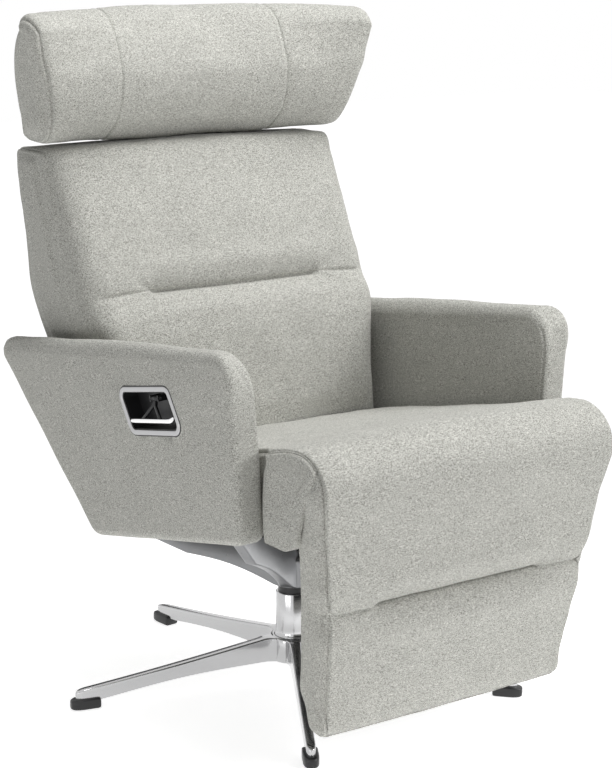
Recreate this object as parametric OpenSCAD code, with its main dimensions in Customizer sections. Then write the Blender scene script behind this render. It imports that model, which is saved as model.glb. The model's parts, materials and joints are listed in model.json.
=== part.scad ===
// Swivel recliner on a star base: +Z up, the front faces -Y, the origin is on the swivel axis at floor level.

/* [Star base] */
// Distance from the swivel axis to the middle of each foot pad
star_r = 350; // [320:1:400]
// Direction of the rear blade, in degrees
star_yaw = 94.8; // [80:0.1:110]
// Thickness of a blade
blade_t = 17; // [12:0.5:24]
// Height of a blade's top edge at the hub
blade_top = 75; // [65:1:90]
// Height of a blade's bottom edge at the hub
blade_bottom = 34; // [26:1:44]
// Height of a blade's top edge at its tip
tip_top = 30; // [26:1:40]
// Diameter of the hub
hub_d = 74; // [68:1:90]
// Outside diameter of the column
column_d = 55; // [45:1:62]
// Wall of the column
column_wall = 4; // [3:0.5:6]
// Height of the top of the column
column_top = 148; // [140:1:156]
// Thickness of a foot pad under its blade
pad_floor = 12; // [8:0.5:16]

/* [Swivel] */
// Diameter of the swivel spindle
spindle_d = 30; // [24:1:34]
// Height of the black bearing ring on top of the column
ring_h = 12; // [8:0.5:14]
// Diameter of the bearing ring
ring_d = 48; // [44:1:54]
// Running gap of the swivel
swivel_gap = 0.3; // [0.3:0.1:0.6]

/* [Seat] */
// Slope of the seat, rising to the front, in degrees
seat_pitch = 11.8; // [8:0.1:15]
// Half the width of the seat between the arms
seat_half = 245; // [240:1:248]
// Half the width of the seat nose in front of the arms
nose_half = 268; // [260:1:275]
// Height of the seat top above the underside of the arms, at the back
seat_rise = 130; // [120:1:145]
// Radius of the seat nose
nose_r = 68; // [58:1:74]
// Crown of the seat cushion over its width
seat_crown = 10; // [4:1:16]

/* [Arms] */
// Distance between the arms at the lower front corner
arm_gap = 500; // [498:1:540]
// Thickness of an arm
arm_t = 48; // [44:1:60]
// Outward flare of the arms, in degrees
arm_flare = 4.2; // [2:0.1:6]
// Height of the arm's front top corner
arm_top = 616; // [600:1:640]
// Height of the arm's rear top corner
arm_rear_top = 522; // [500:1:545]

/* [Back] */
// Height of the top of the back
back_top = 847; // [800:1:900]
// Half the width of the back above the arms
back_half = 277; // [265:1:290]
// Largest recline of the back, in degrees
recline = 38; // [20:1:38]
// Crown of the back cushion over its width
back_crown = 13; // [4:1:18]
// Depth of the sewn cross channel in the back
channel_depth = 8; // [2:0.5:12]

/* [Headrest] */
// Height of the headrest pillow
head_h = 212; // [180:1:230]
// Half the width of the headrest at its wing tips
head_half = 318; // [290:1:330]
// Travel of the headrest
head_travel = 60; // [30:1:70]

/* [Leg rest] */
// Length of the leg rest below its hinge
leg_l = 371; // [340:1:378]
// Thickness of the leg rest
leg_t = 60; // [54:1:64]
// Half the width of the leg rest at its lower end
leg_half = 214.5; // [200:0.5:240]
// Lean of the leg rest from the vertical, in degrees
leg_lean = 9.3; // [6:0.1:12]

/* [Lever] */
// Length of the bezel round the lever cup
bezel_l = 137; // [120:1:145]
// Height of the bezel
bezel_h = 66; // [58:1:72]
// Depth of the lever cup
cup_depth = 27; // [20:1:28]
// Diameter of the lever bar
bar_d = 7; // [5:0.5:9]

/* [Hidden] */
blade_count = 5;
sides = ["left", "right"];
pad_names = [for (k = [1:blade_count]) str("foot_pad_", k)];
paired = ["seat_rail", "back_bracket", "legrest_bracket", "arm_board", "arm_pad",
    "back_lug", "legrest_lug", "link_rod"];
paired_names = [for (n = paired, s = sides) str(n, "_", s)];

// Clearances
fit = 0.3;
pin_gap = 0.2;
plate_gap = 0.5;
over = 1;
// Facets of true round parts, and of the arcs in outlines
round_fn = 64;
arc_steps = 5;

// Colours as the photo shows them
polished = [0.82, 0.82, 0.83];
cast_grey = [0.62, 0.63, 0.64];
black = [0.08, 0.08, 0.09];
steel = [0.25, 0.25, 0.27];
wood = [0.72, 0.58, 0.40];
wool = [0.70, 0.69, 0.66];
satin = [0.66, 0.66, 0.67];

// Star base
blade_run = 15;
pad_l = 46;
pad_w = 24;
pad_lip = 5;
hub_lip = 4;
hub_lip_hole = 46;
hub_step = 1;
flare_h = 12;
flare_w = 4;
bush_h = 20;
bush_z = 50.4;

// Swivel
washer_t = 3;
washer_d = 40;
screw_d = 10;
screw_head_d = 16;
screw_head_h = 6;
screw_depth = 24;
carrier_z = column_top + ring_h + swivel_gap;
carrier_hub_d = 64;
carrier_hub_h = 50;
spindle_z = bush_z - fit;
carrier_web = 18;
carrier_pad_l = 46;
carrier_pad_h = 10;
carrier_deep_share = 0.72;
carrier_bolt_d = 8;
carrier_bolt_head = 14;
carrier_head_h = 5;
bolt_grip = 15;

// Seat plane: it passes under the arms and rises to the front
plane_y = 108;
plane_z = 266;
frame_lift = 3;
rail_h = 25;
rail_w = 16;
rail_out = 246.5;
rail_front = 400;
cross_w = 30;
cross_front = 372;
cross_rear = 25;
strap_count = 4;
strap_w = 50;
strap_t = 2;
strap_pitch = 110;
gas_notch_w = 32;
gas_notch_h = 11;
plate_t = 5;
frame_top = frame_lift + rail_h;

// Hinges, each a point in Y and Z
back_hinge = [112, 372];
leg_hinge = [-415, 440];
pin_d = 12;
leg_pin_d = 10;
back_round = 36;
crank_angle = recline / 2 - 90;
crank_r = 64;
link_angle = recline - 88;
link_r = 34;
link_d = 8;
link_play = 2.8;
link_drop = 2.2;
link_h = 10;
gas_crank_r = 70;
gas_play = 2.4;
gas_drop = 1.9;
ear_r = 10;
disc_r = 14;
bracket_hold = 60;
bracket_foot = [5, 95];
back_joint = back_hinge + crank_r * [cos(crank_angle), sin(crank_angle)];
leg_joint = leg_hinge + link_r * [cos(link_angle), sin(link_angle)];
gas_joint = back_hinge + gas_crank_r * [cos(crank_angle), sin(crank_angle)];
gas_anchor = [-215, 322];
lug_in = rail_out - plate_gap - plate_t;
rod_in = lug_in - 2 * plate_gap - plate_t;

// Arms
arm_front_y = -292;
arm_rear_y = 364;
arm_drop = 3.6;
arm_low_front = plane_z + (plane_y - arm_front_y) * tan(seat_pitch) - arm_drop;
arm_toe = 0.026;
arm_edge_r = 17;
arm_bulge = 3;
arm_face_share = 0.62;
arm_skin = 6;
arm_board_t = 10;
board_inset = 34;
arm_bolt_d = 8;
arm_bolt_l = 37;
arm_bolt_head = 14;
arm_bolt_spots = [70, 330];

// Back
board_y = 190;
board_z = 346;
board_lean = 17.3;
board_short = 18.846;
board_l = (back_top - board_short - board_z) / cos(board_lean);
board_t = 15;
board_half = rail_out - plate_gap - plate_t;
neck_half = board_half - 1;
back_low = 338;
back_edge_r = 26;
channel_w = 12;
cover_low_y = 298;
cover_mid = [334, 542];
cover_t = 42.956;
cover_top_y = board_front(back_top) + cover_t;

// Headrest
head_rise = 46;
head_set = 38.3715;
head_hinge = [board_front(back_top + head_rise) - head_set, back_top + head_rise];
head_round = 38;
head_pin_d = 8;
slider_w = 60;
slider_t = 6;
slider_hold = 30;
barrel_d = 16;
barrel_l = 28;
core_w = 220;
core_h = 110;
core_t = 4;
sleeve_t = 3;
sleeve_l = 110;
slider_l = sleeve_l + head_travel + slider_hold;
sleeve_short = 45;
sleeve_z = board_l - sleeve_short - sleeve_l;
head_edge_r = 26;
wing_forward = 26;

// Cushion outlines
form_step = 45;
cushion_r = 20;
edge_small = 12;
rear_corner_r = 34;
crease = 2;
nose_back = 42;
nose_foot = 12;
nose_start = 12;
nose_blend = 32;
block_drop = 88;
block_back = -300;
lip_gap = 1.5;
lip_share = 0.22;
slot_gap = 1.5;
link_room = 34;
arm_low_r = 20;
arm_rear_r = 14;
arm_top_r = 55;
board_foot = 6;
back_top_t = 74.044;
back_sweep = board_front(back_top) - back_top_t - back_hinge[0] + back_round;
top_r = 14;
neck_z = 430;
neck_rise = 210;
skin_gap = 0.4;
channel_share = 0.514;
pucker_share = 0.56;
seam_share = 0.35;
cover_rise = 8;
cover_r = 30;
guide_room = 95;
guide_low = sleeve_z - guide_room;
lug_foot = 6;
lug_top = 78;
clevis_t = 4;
clevis_up = 40;
back_clevis_w = 16;
head_ahead = 80;
head_deep = 142;
head_crown = 6;
wing_taper = 50;
wing_top_share = 2.9;
slider_short = 20;
leg_bow = 3;
leg_seam_share = 0.466;
leg_mid_half = 234.5;
leg_edge_r = 16;
leg_crown = 6;
leg_notch = 48;
leg_tab = 98;
leg_board_t = 12;

// Gas spring
gas_eye_w = 14;
gas_body_d = 22;
gas_body_l = 190;
gas_neck = 8;
gas_rod_d = 8;
gas_bore_start = 40;
gas_stroke = 52;
gas_room = 4;

// Lever
cup_wall = 2;
bezel_w = 6;
bezel_t = 2.5;
bezel_skew_share = 0.3;
bezel_turn = -10.5;
bezel_r = 13;
cup_centre = [-86, 508];
lever_pin_d = 4;
lever_ear_t = 2.5;
lever_hub_d = 9;
lever_hub_l = 18;
bar_swell = 0.6;
lever_arm_w = 6;
lever_arm_t = 3;
lever_pivot_in = 14;
lever_pivot_up = 16;
bar_out = 3;
bar_low = 14;

// Outline helpers
function unit(v) = v / norm(v);
function across(v) = [v[1], -v[0]];
function wrapped(a) = (a + 900) % 360 - 180;
function smooth(t) = let (s = min(1, max(0, t))) s * s * (3 - 2 * s);

// A corner [y, z, r] between its neighbours, as an arc of radius r
function corner(a, b, c, r) =
    let (u = unit([a[0], a[1]] - [b[0], b[1]]), v = unit([c[0], c[1]] - [b[0], b[1]]),
        half = acos(max(-1, min(1, u * v))) / 2,
        mid = [b[0], b[1]] + unit(u + v) * r / sin(half),
        p = [b[0], b[1]] + u * r / tan(half) - mid,
        q = [b[0], b[1]] + v * r / tan(half) - mid,
        start = atan2(p[1], p[0]), sweep = wrapped(atan2(q[1], q[0]) - start))
    [for (i = [0:arc_steps]) mid + r * [cos(start + sweep * i / arc_steps),
        sin(start + sweep * i / arc_steps)]];
function rounded(pts) =
    let (n = len(pts))
    [for (i = [0:n - 1]) each
        pts[i][2] > 0 ? corner(pts[(i + n - 1) % n], pts[i], pts[(i + 1) % n], pts[i][2])
            : [[pts[i][0], pts[i][1]]]];
function arc(c, r, a, b, n) =
    [for (i = [0:n]) [c[0] + r * cos(a + (b - a) * i / n), c[1] + r * sin(a + (b - a) * i / n), 0]];
function dense(pts, step) =
    let (n = len(pts))
    [for (i = [0:n - 1]) each
        let (a = pts[i], b = pts[(i + 1) % n], k = max(1, round(norm(b - a) / step)))
        [for (j = [0:k - 1]) a + (b - a) * j / k]];
function normals(pts) =
    let (n = len(pts)) [for (i = [0:n - 1]) unit(across(pts[(i + 1) % n] - pts[(i + n - 1) % n]))];
function turned(p, c, a) = c + [cos(a) * (p - c)[0] - sin(a) * (p - c)[1],
    sin(a) * (p - c)[0] + cos(a) * (p - c)[1]];

// A point at run s and height h over the seat plane, in Y and Z
function on_plane(s, h) =
    [plane_y - s * cos(seat_pitch) + h * sin(seat_pitch),
        plane_z + s * sin(seat_pitch) + h * cos(seat_pitch)];

// Rows of points become one closed surface, with a fan at each end
module skin(rows, low, high) {
    n = len(rows[0]);
    m = len(rows);
    points = concat([for (row = rows) each row], [low, high]);
    walls = [for (j = [0:m - 2], i = [0:n - 1]) each
        let (a = j * n + i, b = j * n + (i + 1) % n) [[a, a + n, b + n], [a, b + n, b]]];
    first = [for (i = [0:n - 1]) [m * n, i, (i + 1) % n]];
    last = [for (i = [0:n - 1]) [m * n + 1, (m - 1) * n + (i + 1) % n, (m - 1) * n + i]];
    polyhedron(points = points, faces = concat(walls, first, last), convexity = 10);
}

// Stations over a cushion's width, closer together at its edges
stations = [-1, -0.98, -0.93, -0.82, -0.5, 0, 0.5, 0.82, 0.93, 0.98, 1];
function edge_draw(gap, r) = gap >= r ? 0 : r - sqrt(r * r - (r - gap) * (r - gap));

// A cushion: its outline in Y and Z, carried over its width, with round side edges of radius r,
// a crown between the sides, and any channel that sink(u, p, n) gives
// soft(p) is less than 1 where a face stays flat against its board, and shift(u, p) moves the section in Y
module cushion(outline, half, r, crown, centre, sink, soft, shift) {
    out = normals(outline);
    rows = [for (u = stations) [for (i = [0:len(outline) - 1])
        let (p = outline[i], w = half(p),
            d = (edge_draw((1 - abs(u)) * w, r) + crown * u * u) * soft(p) + sink(u, p, out[i]))
        [u * w, p[0] - out[i][0] * d + shift(u, p), p[1] - out[i][1] * d]]];
    middle = [centre[0] + shift(1, centre), centre[1]];
    skin(rows, [-half(centre), middle[0], middle[1]], [half(centre), middle[0], middle[1]]);
}

module plate(x, t) translate([x, 0, 0]) rotate([90, 0, 90]) linear_extrude(t) children();
module both(side) mirror([side == "left" ? 0 : 1, 0, 0]) children();
module pin(x, l, c, d) translate([x, c[0], c[1]]) rotate([0, 90, 0]) cylinder(h = l, d = d, $fn = round_fn);
module seat_plane() translate([0, plane_y, plane_z]) rotate([-seat_pitch, 0, 0]) children();
module ring(h, outer, inner) {
    difference() {
        cylinder(h = h, d = outer, $fn = round_fn);
        translate([0, 0, -over]) cylinder(h = h + 2 * over, d = inner, $fn = round_fn);
    }
}

// Star base
blade_low = blade_bottom + hub_step;
blade_high = blade_top - hub_step;
blade_outline = [[0, blade_low], [hub_d / 2 + blade_run, blade_low], [star_r - pad_l / 2, pad_floor],
    [star_r + blade_run, pad_floor], [star_r + blade_run, tip_top], [hub_d / 2 + blade_run, blade_high],
    [0, blade_high]];
module base_star() {
    color(polished) difference() {
        union() {
            for (k = [0:blade_count - 1])
                rotate([0, 0, star_yaw + k * 360 / blade_count]) rotate([90, 0, 0])
                    translate([0, 0, -blade_t / 2]) linear_extrude(blade_t) polygon(blade_outline);
            translate([0, 0, blade_bottom]) cylinder(h = blade_top - blade_bottom, d = hub_d, $fn = round_fn);
        }
        translate([0, 0, blade_bottom + hub_lip])
            cylinder(h = blade_top, d = column_d, $fn = round_fn);
        translate([0, 0, -over]) cylinder(h = blade_top, d = hub_lip_hole, $fn = round_fn);
    }
}

module foot_pad(k) {
    color(black) rotate([0, 0, star_yaw + (k - 1) * 360 / blade_count]) difference() {
        translate([star_r - pad_l / 2, -pad_w / 2, 0]) cube([pad_l, pad_w, pad_floor + pad_lip]);
        rotate([90, 0, 0]) translate([0, 0, -blade_t / 2]) linear_extrude(blade_t) polygon(blade_outline);
    }
}

module column_tube() {
    foot = blade_bottom + hub_lip;
    r = column_d / 2;
    color(polished) rotate_extrude($fn = round_fn)
        polygon([[r - column_wall, foot], [r, foot], [r, blade_top],
        [r + flare_w, blade_top], [r, blade_top + flare_h], [r, column_top], [r - column_wall, column_top]]);
}

module lower_bush() {
    color(black) translate([0, 0, bush_z])
        ring(bush_h, column_d - 2 * column_wall, spindle_d + 2 * pin_gap);
}

module swivel_ring() {
    color(black) {
        difference() {
            union() {
                translate([0, 0, column_top]) cylinder(h = ring_h, d = ring_d, $fn = round_fn);
                translate([0, 0, column_top - bush_h])
                    cylinder(h = bush_h, d = column_d - 2 * column_wall, $fn = round_fn);
            }
            translate([0, 0, column_top - bush_h - over])
                cylinder(h = bush_h + ring_h + 2 * over, d = spindle_d + 2 * pin_gap, $fn = round_fn);
        }
    }
}

module spindle() {
    color(steel) difference() {
        translate([0, 0, spindle_z]) cylinder(h = carrier_z + carrier_hub_h - spindle_z, d = spindle_d,
            $fn = round_fn);
        translate([0, 0, spindle_z - over]) cylinder(h = screw_depth + over, d = screw_d, $fn = round_fn);
    }
}

module retaining_washer() {
    color(steel) translate([0, 0, spindle_z - washer_t]) ring(washer_t, washer_d, screw_d);
}

module retaining_screw() {
    color(steel) {
        translate([0, 0, spindle_z - washer_t]) cylinder(h = washer_t + screw_depth, d = screw_d,
            $fn = round_fn);
        translate([0, 0, spindle_z - washer_t - screw_head_h]) cylinder(h = screw_head_h, d = screw_head_d,
            $fn = round_fn);
    }
}

// Seat frame
rail_mid = rail_out - rail_w / 2;
carrier_spots = [40, 300];
module carrier_arm(s) {
    tip = on_plane(s, frame_lift);
    run = norm([rail_mid, tip[0]]);
    low = carrier_z + hub_step;
    top = carrier_z + carrier_hub_h - hub_step;
    rotate([0, 0, atan2(tip[0], rail_mid)]) rotate([90, 0, 0]) translate([0, 0, -carrier_web / 2])
        linear_extrude(carrier_web) polygon([[0, low], [carrier_hub_d / 2, low],
            [run * carrier_deep_share, (carrier_z + tip[1]) / 2 - carrier_pad_h],
                [run, tip[1] - 2 * carrier_pad_h],
            [run, tip[1] + rail_h], [run * carrier_deep_share, tip[1] - carrier_pad_h], [0, top]]);
}
module seat_carrier() {
    color(cast_grey) difference() {
        union() {
            translate([0, 0, carrier_z]) cylinder(h = carrier_hub_h, d = carrier_hub_d, $fn = round_fn);
            for (side = sides, s = carrier_spots) both(side) {
                carrier_arm(s);
                seat_plane() translate([rail_out - rail_w - carrier_web / 2, -s - carrier_pad_l / 2,
                    frame_lift - carrier_pad_h])
                    cube([rail_w + carrier_web / 2, carrier_pad_l, carrier_pad_h]);
            }
        }
        seat_plane() translate([-rail_out - rail_w, -2 * rail_front, frame_lift])
            cube([2 * (rail_out + rail_w), 3 * rail_front, rail_front]);
        translate([0, 0, carrier_z - over]) cylinder(h = carrier_hub_h + 2 * over, d = spindle_d,
            $fn = round_fn);
        carrier_bolt_set(over);
        carrier_head_set(carrier_web, fit);
    }
}
module carrier_bolt_set(extra) {
    seat_plane() for (side = sides, s = carrier_spots) both(side)
        translate([rail_mid, -s, frame_lift - carrier_pad_h - extra])
            cylinder(h = carrier_pad_h + bolt_grip + extra, d = carrier_bolt_d, $fn = round_fn);
}
module carrier_bolts() {
    color(steel) {
        carrier_bolt_set(0);
        carrier_head_set(carrier_head_h, 0);
    }
}
module carrier_head_set(h, gap) {
    seat_plane() for (side = sides, s = carrier_spots) both(side)
        translate([rail_mid, -s, frame_lift - carrier_pad_h - h])
            cylinder(h = h, d = carrier_bolt_head + 2 * gap, $fn = round_fn);
}
module seat_rail(side) {
    color(steel) both(side) difference() {
        seat_plane() translate([rail_out - rail_w, -rail_front, frame_lift])
            cube([rail_w, rail_front, rail_h]);
        carrier_bolt_set(0);
        arm_bolt_set(0);
    }
}
module crossbar(s) {
    color(steel) seat_plane() difference() {
        translate([rail_w - rail_out, -s - cross_w / 2, frame_lift])
            cube([2 * (rail_out - rail_w), cross_w, rail_h]);
        if (s == cross_rear)
            translate([-gas_notch_w / 2, -s - cross_w / 2 - over, frame_top - gas_notch_h])
                cube([gas_notch_w, cross_w + 2 * over, gas_notch_h + over]);
    }
}
module seat_webbing() {
    color(black) seat_plane() for (k = [0:strap_count - 1])
        translate([(k - (strap_count - 1) / 2) * strap_pitch - strap_w / 2, -cross_front - cross_w / 2,
            frame_top])
            cube([strap_w, cross_front - cross_rear + cross_w, strap_t]);
}

// Brackets of the two hinges, on the outside of the rails
module back_bracket(side) {
    color(steel) both(side) difference() {
        plate(rail_out, plate_t) {
            polygon([on_plane(bracket_foot[1], frame_lift), on_plane(bracket_foot[0], frame_lift),
                on_plane(bracket_foot[0], frame_top), back_hinge + [disc_r, 0],
                back_hinge - [disc_r, 0], on_plane(bracket_foot[1], frame_top)]);
            translate(back_hinge) circle(r = disc_r, $fn = round_fn);
        }
        pin(rail_out - over, plate_t + 2 * over, back_hinge, pin_d);
        arm_bolt_set(0);
    }
}
module back_pins() {
    color(steel) for (side = sides) both(side) {
        pin(lug_in - over, plate_gap + 2 * plate_t + over, back_hinge, pin_d);
        pin(rail_out + plate_t, over, back_hinge, pin_d + 2 * arm_bulge);
    }
}
module legrest_bracket(side) {
    color(steel) both(side) difference() {
        plate(rail_out, plate_t) polygon(concat(
            [on_plane(rail_front - bracket_hold, frame_lift), on_plane(rail_front, frame_lift)],
            [for (q = arc(leg_hinge, disc_r, 240, 60, 4 * arc_steps)) [q[0], q[1]]],
            [on_plane(rail_front, frame_top), on_plane(rail_front - bracket_hold, frame_top)]));
        pin(rail_out - over, plate_t + 2 * over, leg_hinge, leg_pin_d);
    }
}
module legrest_pins() {
    color(steel) for (side = sides) both(side)
        pin(lug_in - over, plate_gap + 2 * plate_t + over, leg_hinge, leg_pin_d);
}

// Sewn seat cushion, with a nose that overhangs the leg rest's round top end
nose = leg_hinge + [nose_back, 0];
seat_under = frame_top + strap_t + fit;
seat_top_y = back_hinge[0] - back_round - crease;
function seat_z(y, h) = plane_z + (plane_y - y) * tan(seat_pitch) + h / cos(seat_pitch);
seat_outline = dense(rounded(concat(
    [[nose[0] + nose_foot, nose[1] - block_drop, edge_small], [block_back, nose[1] - block_drop, edge_small],
        [block_back + edge_small, seat_z(block_back + edge_small, seat_under), 0],
        [seat_top_y, seat_z(seat_top_y, seat_under), edge_small],
        [seat_top_y, seat_z(seat_top_y, seat_rise), rear_corner_r]],
    arc(nose, nose_r, 103, 151, arc_steps),
    arc(leg_hinge, leg_t / 2 + lip_gap, 95, 0, arc_steps))), form_step);
function seat_width(p) = seat_half
    + (nose_half - seat_half) * smooth((arm_front_y + nose_start - p[0]) / nose_blend);
module seat_cushion() {
    color(wool) difference() {
        cushion(seat_outline, function(p) seat_width(p), cushion_r, seat_crown, nose + [nose_r / 2, 0],
            function(u, p, n) 0,
            function(p) (lip_share + (1 - lip_share) * smooth((norm(p - leg_hinge) - leg_t / 2) / leg_t))
                * smooth((p[1] - seat_z(p[0], seat_under)) / (2 * cushion_r)),
            function(u, p) 0);
        for (side = sides) both(side) {
            translate([rod_in - slot_gap, -over - rail_front, leg_hinge[1] - block_drop - over])
                cube([rail_out + plate_t + 2 * slot_gap - rod_in,
                    rail_front + over + block_back + edge_small, block_drop + over]);
            seat_plane() translate([rod_in - slot_gap, -rail_front - 2 * edge_small, frame_top])
                cube([rail_out + plate_t + 2 * slot_gap - rod_in, 2 * rail_front, link_room]);
            translate([seat_half + fit, arm_front_y - slot_gap, plane_z])
                cube([nose_half, seat_top_y - arm_front_y + slot_gap + over, arm_top - plane_z]);
        }
        translate([-gas_notch_w / 2, gas_anchor[0], plane_z])
            cube([gas_notch_w, seat_top_y - gas_anchor[0] + over,
                gas_anchor[1] + gas_body_d / 2 + gas_room - plane_z]);
    }
}

// Arms: a sheet tilted by the flare and the toe, round at its edges and full in its faces
arm_corner = [arm_gap / 2, arm_front_y, arm_low_front];
function arm_inner(p) = arm_gap / 2 + (p[1] - arm_low_front) * tan(arm_flare)
    + (p[0] - arm_front_y) * arm_toe;
arm_outline = dense(rounded([[plane_y, plane_z, arm_low_r], [arm_rear_y, arm_rear_top, arm_rear_r],
    [arm_front_y, arm_top, arm_top_r], [arm_front_y, arm_low_front, arm_low_r]]), 2 * form_step);
arm_middle = [(arm_rear_y + arm_front_y) / 4, (arm_top + plane_z) / 2];
module arm_form() {
    out = normals(arm_outline);
    a = [90, 55, 25, 0];
    inner = [for (k = a) [arm_edge_r * (1 - sin(k)), arm_edge_r * (1 - cos(k))]];
    outer = [for (k = [len(a) - 1:-1:0]) [arm_t - inner[k][0], inner[k][1]]];
    function row(x, d) = [for (i = [0:len(arm_outline) - 1])
        let (q = arm_outline[i] - out[i] * d) [arm_inner(q) + x, q[0], q[1]]];
    function face(x) = [for (p = row(x, arm_edge_r))
        let (q = arm_middle + arm_face_share * ([p[1], p[2]] - arm_middle)) [arm_inner(q) + x, q[0], q[1]]];
    m = arm_inner(arm_middle);
    skin(concat([face(0)], [for (e = inner) row(e[0], e[1])], [for (e = outer) row(e[0], e[1])],
        [face(arm_t + arm_bulge)]),
        [m, arm_middle[0], arm_middle[1]], [m + arm_t + arm_bulge, arm_middle[0], arm_middle[1]]);
}
module arm_place() {
    translate(arm_corner) rotate([0, 0, -atan(arm_toe)]) rotate([0, arm_flare, 0])
        translate([0, -arm_front_y, -arm_low_front]) children();
}
module arm_board_shape(gap, drop) {
    low = plane_z + board_foot;
    rise = (arm_low_front - plane_z) / (plane_y - arm_front_y);
    plate(arm_skin - gap, arm_board_t + 2 * gap) polygon([
        [plane_y - board_inset / 2 + gap, low + rise * board_inset / 2 - drop],
        [arm_rear_y - 2 * board_inset + gap, arm_rear_top - board_inset + gap],
        [arm_front_y + board_inset - gap, arm_top - board_inset - arm_low_r + gap],
        [arm_front_y + board_inset - gap, low + rise * (plane_y - arm_front_y - board_inset) - drop]]);
}
module arm_bolt_set(extra) {
    seat_plane() for (s = arm_bolt_spots)
        translate([rail_out - rail_w - extra, -s, frame_lift + rail_h / 2]) rotate([0, 90, 0])
            cylinder(h = arm_bolt_l + extra, d = arm_bolt_d, $fn = round_fn);
}
module arm_bolts() {
    color(steel) for (side = sides) both(side) {
        arm_bolt_set(0);
        seat_plane() for (s = arm_bolt_spots)
            translate([rail_out - rail_w - plate_t, -s, frame_lift + rail_h / 2]) rotate([0, 90, 0])
                cylinder(h = plate_t, d = arm_bolt_head, $fn = round_fn);
    }
}
module arm_board(side) {
    color(wood) both(side) difference() {
        arm_place() arm_board_shape(0, 0);
        arm_bolt_set(0);
    }
}
module arm_pad(side) {
    color(wool) both(side) difference() {
        arm_form();
        arm_place() arm_board_shape(fit, arm_t);
        arm_bolt_set(0);
        if (side == "right") {
            lever_frame() {
                plate(-cup_depth - fit, arm_t) polygon(cup_outline(bezel_w - cup_wall - fit));
                plate(-bezel_t / 2, arm_t) polygon(cup_outline(-fit));
            }
        }
    }
}

// Recessed release lever, in a frame on the outer face: X out of the face, Y along the bezel
module lever_frame() {
    arm_place() translate([arm_t, cup_centre[0], cup_centre[1]]) rotate([bezel_turn, 0, 0]) children();
}
function cup_outline(d) =
    let (l = bezel_l / 2 - d, h = bezel_h / 2 - d, k = bezel_skew_share * h, r = max(bar_d / 2, bezel_r - d))
    rounded([[l - k, -h, r], [l + k, h, r], [k - l, h, r], [-l - k, -h, r]]);
module lever_cup() {
    color(black) both("right") lever_frame() {
        difference() {
            plate(-cup_depth, cup_depth - bezel_t / 2) polygon(cup_outline(bezel_w - cup_wall));
            plate(cup_wall - cup_depth, cup_depth) polygon(cup_outline(bezel_w));
        }
        for (k = [-1, 1]) difference() {
            translate([cup_wall - cup_depth,
                k * (lever_hub_l / 2 + pin_gap + lever_ear_t / 2) - lever_ear_t / 2,
                lever_pivot_up - lever_hub_d / 2])
                cube([cup_depth - cup_wall - lever_pivot_in + lever_pin_d, lever_ear_t, lever_hub_d]);
            lever_axle(lever_hub_l + 4 * lever_ear_t, lever_pin_d);
        }
    }
}
module lever_axle(l, d)
    translate([-lever_pivot_in, l / 2, lever_pivot_up]) rotate([90, 0, 0])
        cylinder(h = l, d = d, $fn = round_fn);
module lever_bezel() {
    color(satin) both("right") lever_frame() plate(-bezel_t / 2, bezel_t + arm_bulge / 2) difference() {
        polygon(cup_outline(0));
        polygon(cup_outline(bezel_w));
    }
}
module lever_pin() {
    color(steel) both("right") lever_frame() lever_axle(lever_hub_l + 2 * (lever_ear_t + pin_gap),
        lever_pin_d);
}
module rod_between(a, b, d)
    translate(a) rotate([0, acos((b - a)[2] / norm(b - a)), atan2((b - a)[1], (b - a)[0])])
        cylinder(h = norm(b - a), d = d, $fn = round_fn);
module release_lever() {
    pivot = [-lever_pivot_in, 0, lever_pivot_up];
    bar_half = bezel_l / 2 - bezel_w - 3 * bar_d / 2;
    shift = -bezel_skew_share * bar_low;
    rear = [bar_out, bar_half + shift, -bar_low];
    front = [bar_out, shift - bar_half, -bar_low];
    run = norm([bar_out + lever_pivot_in, lever_pivot_up + bar_low]);
    w = lever_arm_w / 2;
    reach = bar_half / 2;
    tip = front + [-bar_d, -bar_d / 4, bar_d / 2];
    color(polished) both("right") lever_frame() difference() {
        union() {
            lever_axle(lever_hub_l, lever_hub_d);
            rod_between(rear, front, bar_d);
            translate(front) sphere(d = bar_d + bar_swell, $fn = round_fn);
            rod_between(front, tip, bar_d - bar_swell);
            translate(pivot) rotate([0, atan2(bar_out + lever_pivot_in, -lever_pivot_up - bar_low), 0])
                plate(-lever_arm_t / 2, lever_arm_t) polygon([[w, 0], [w, run / 3], [shift + reach + w, run],
                    [shift + reach - w, run], [0, run / 3 + w], [shift - reach + w, run],
                    [shift - reach - w, run], [-w, run / 3], [-w, 0]]);
        }
        lever_axle(2 * lever_hub_l, lever_pin_d + pin_gap);
    }
}

// Back
function board_point(s, t) =
    [board_y + s * sin(board_lean) + t * cos(board_lean),
        board_z + s * cos(board_lean) - t * sin(board_lean)];
function board_front(z) = board_y + (z - board_z) * tan(board_lean);
module board_place() translate([0, board_y, board_z]) rotate([-board_lean, 0, 0]) children();
back_rise = back_top - back_hinge[1];
front_shares = [[0.05, 0], [0.14, 0.03], [0.24, 0.117], [0.417, 0.24], [0.46, 0.3], [0.526, 0.42],
    [0.659, 0.575], [0.792, 0.73], [0.895, 0.87], [1, 1]];
front_stations = [0.965, 0.93, 0.88, 0.82, 0.76, 0.7, 0.64, 0.59, 0.56, 0.542, 0.528, 0.514, 0.5,
    0.486, 0.468, 0.44, 0.38, 0.31, 0.24, 0.18, 0.12, 0.06];
function front_point(t) =
    [back_hinge[0] - back_round + back_sweep * lookup(t, front_shares), back_hinge[1] + back_rise * t, 0];
back_outline = dense(rounded(concat(
    arc(back_hinge, back_round, 180, 270, arc_steps),
    [[board_front(back_low) - skin_gap, back_low, 0], [board_front(back_top) - skin_gap, back_top, 0],
        [back_hinge[0] - back_round + back_sweep, back_top, top_r]],
    [for (t = front_stations) front_point(t)])), form_step);
function back_width(p) = neck_half + (back_half - neck_half) * smooth((p[1] - neck_z) / neck_rise);
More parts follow.
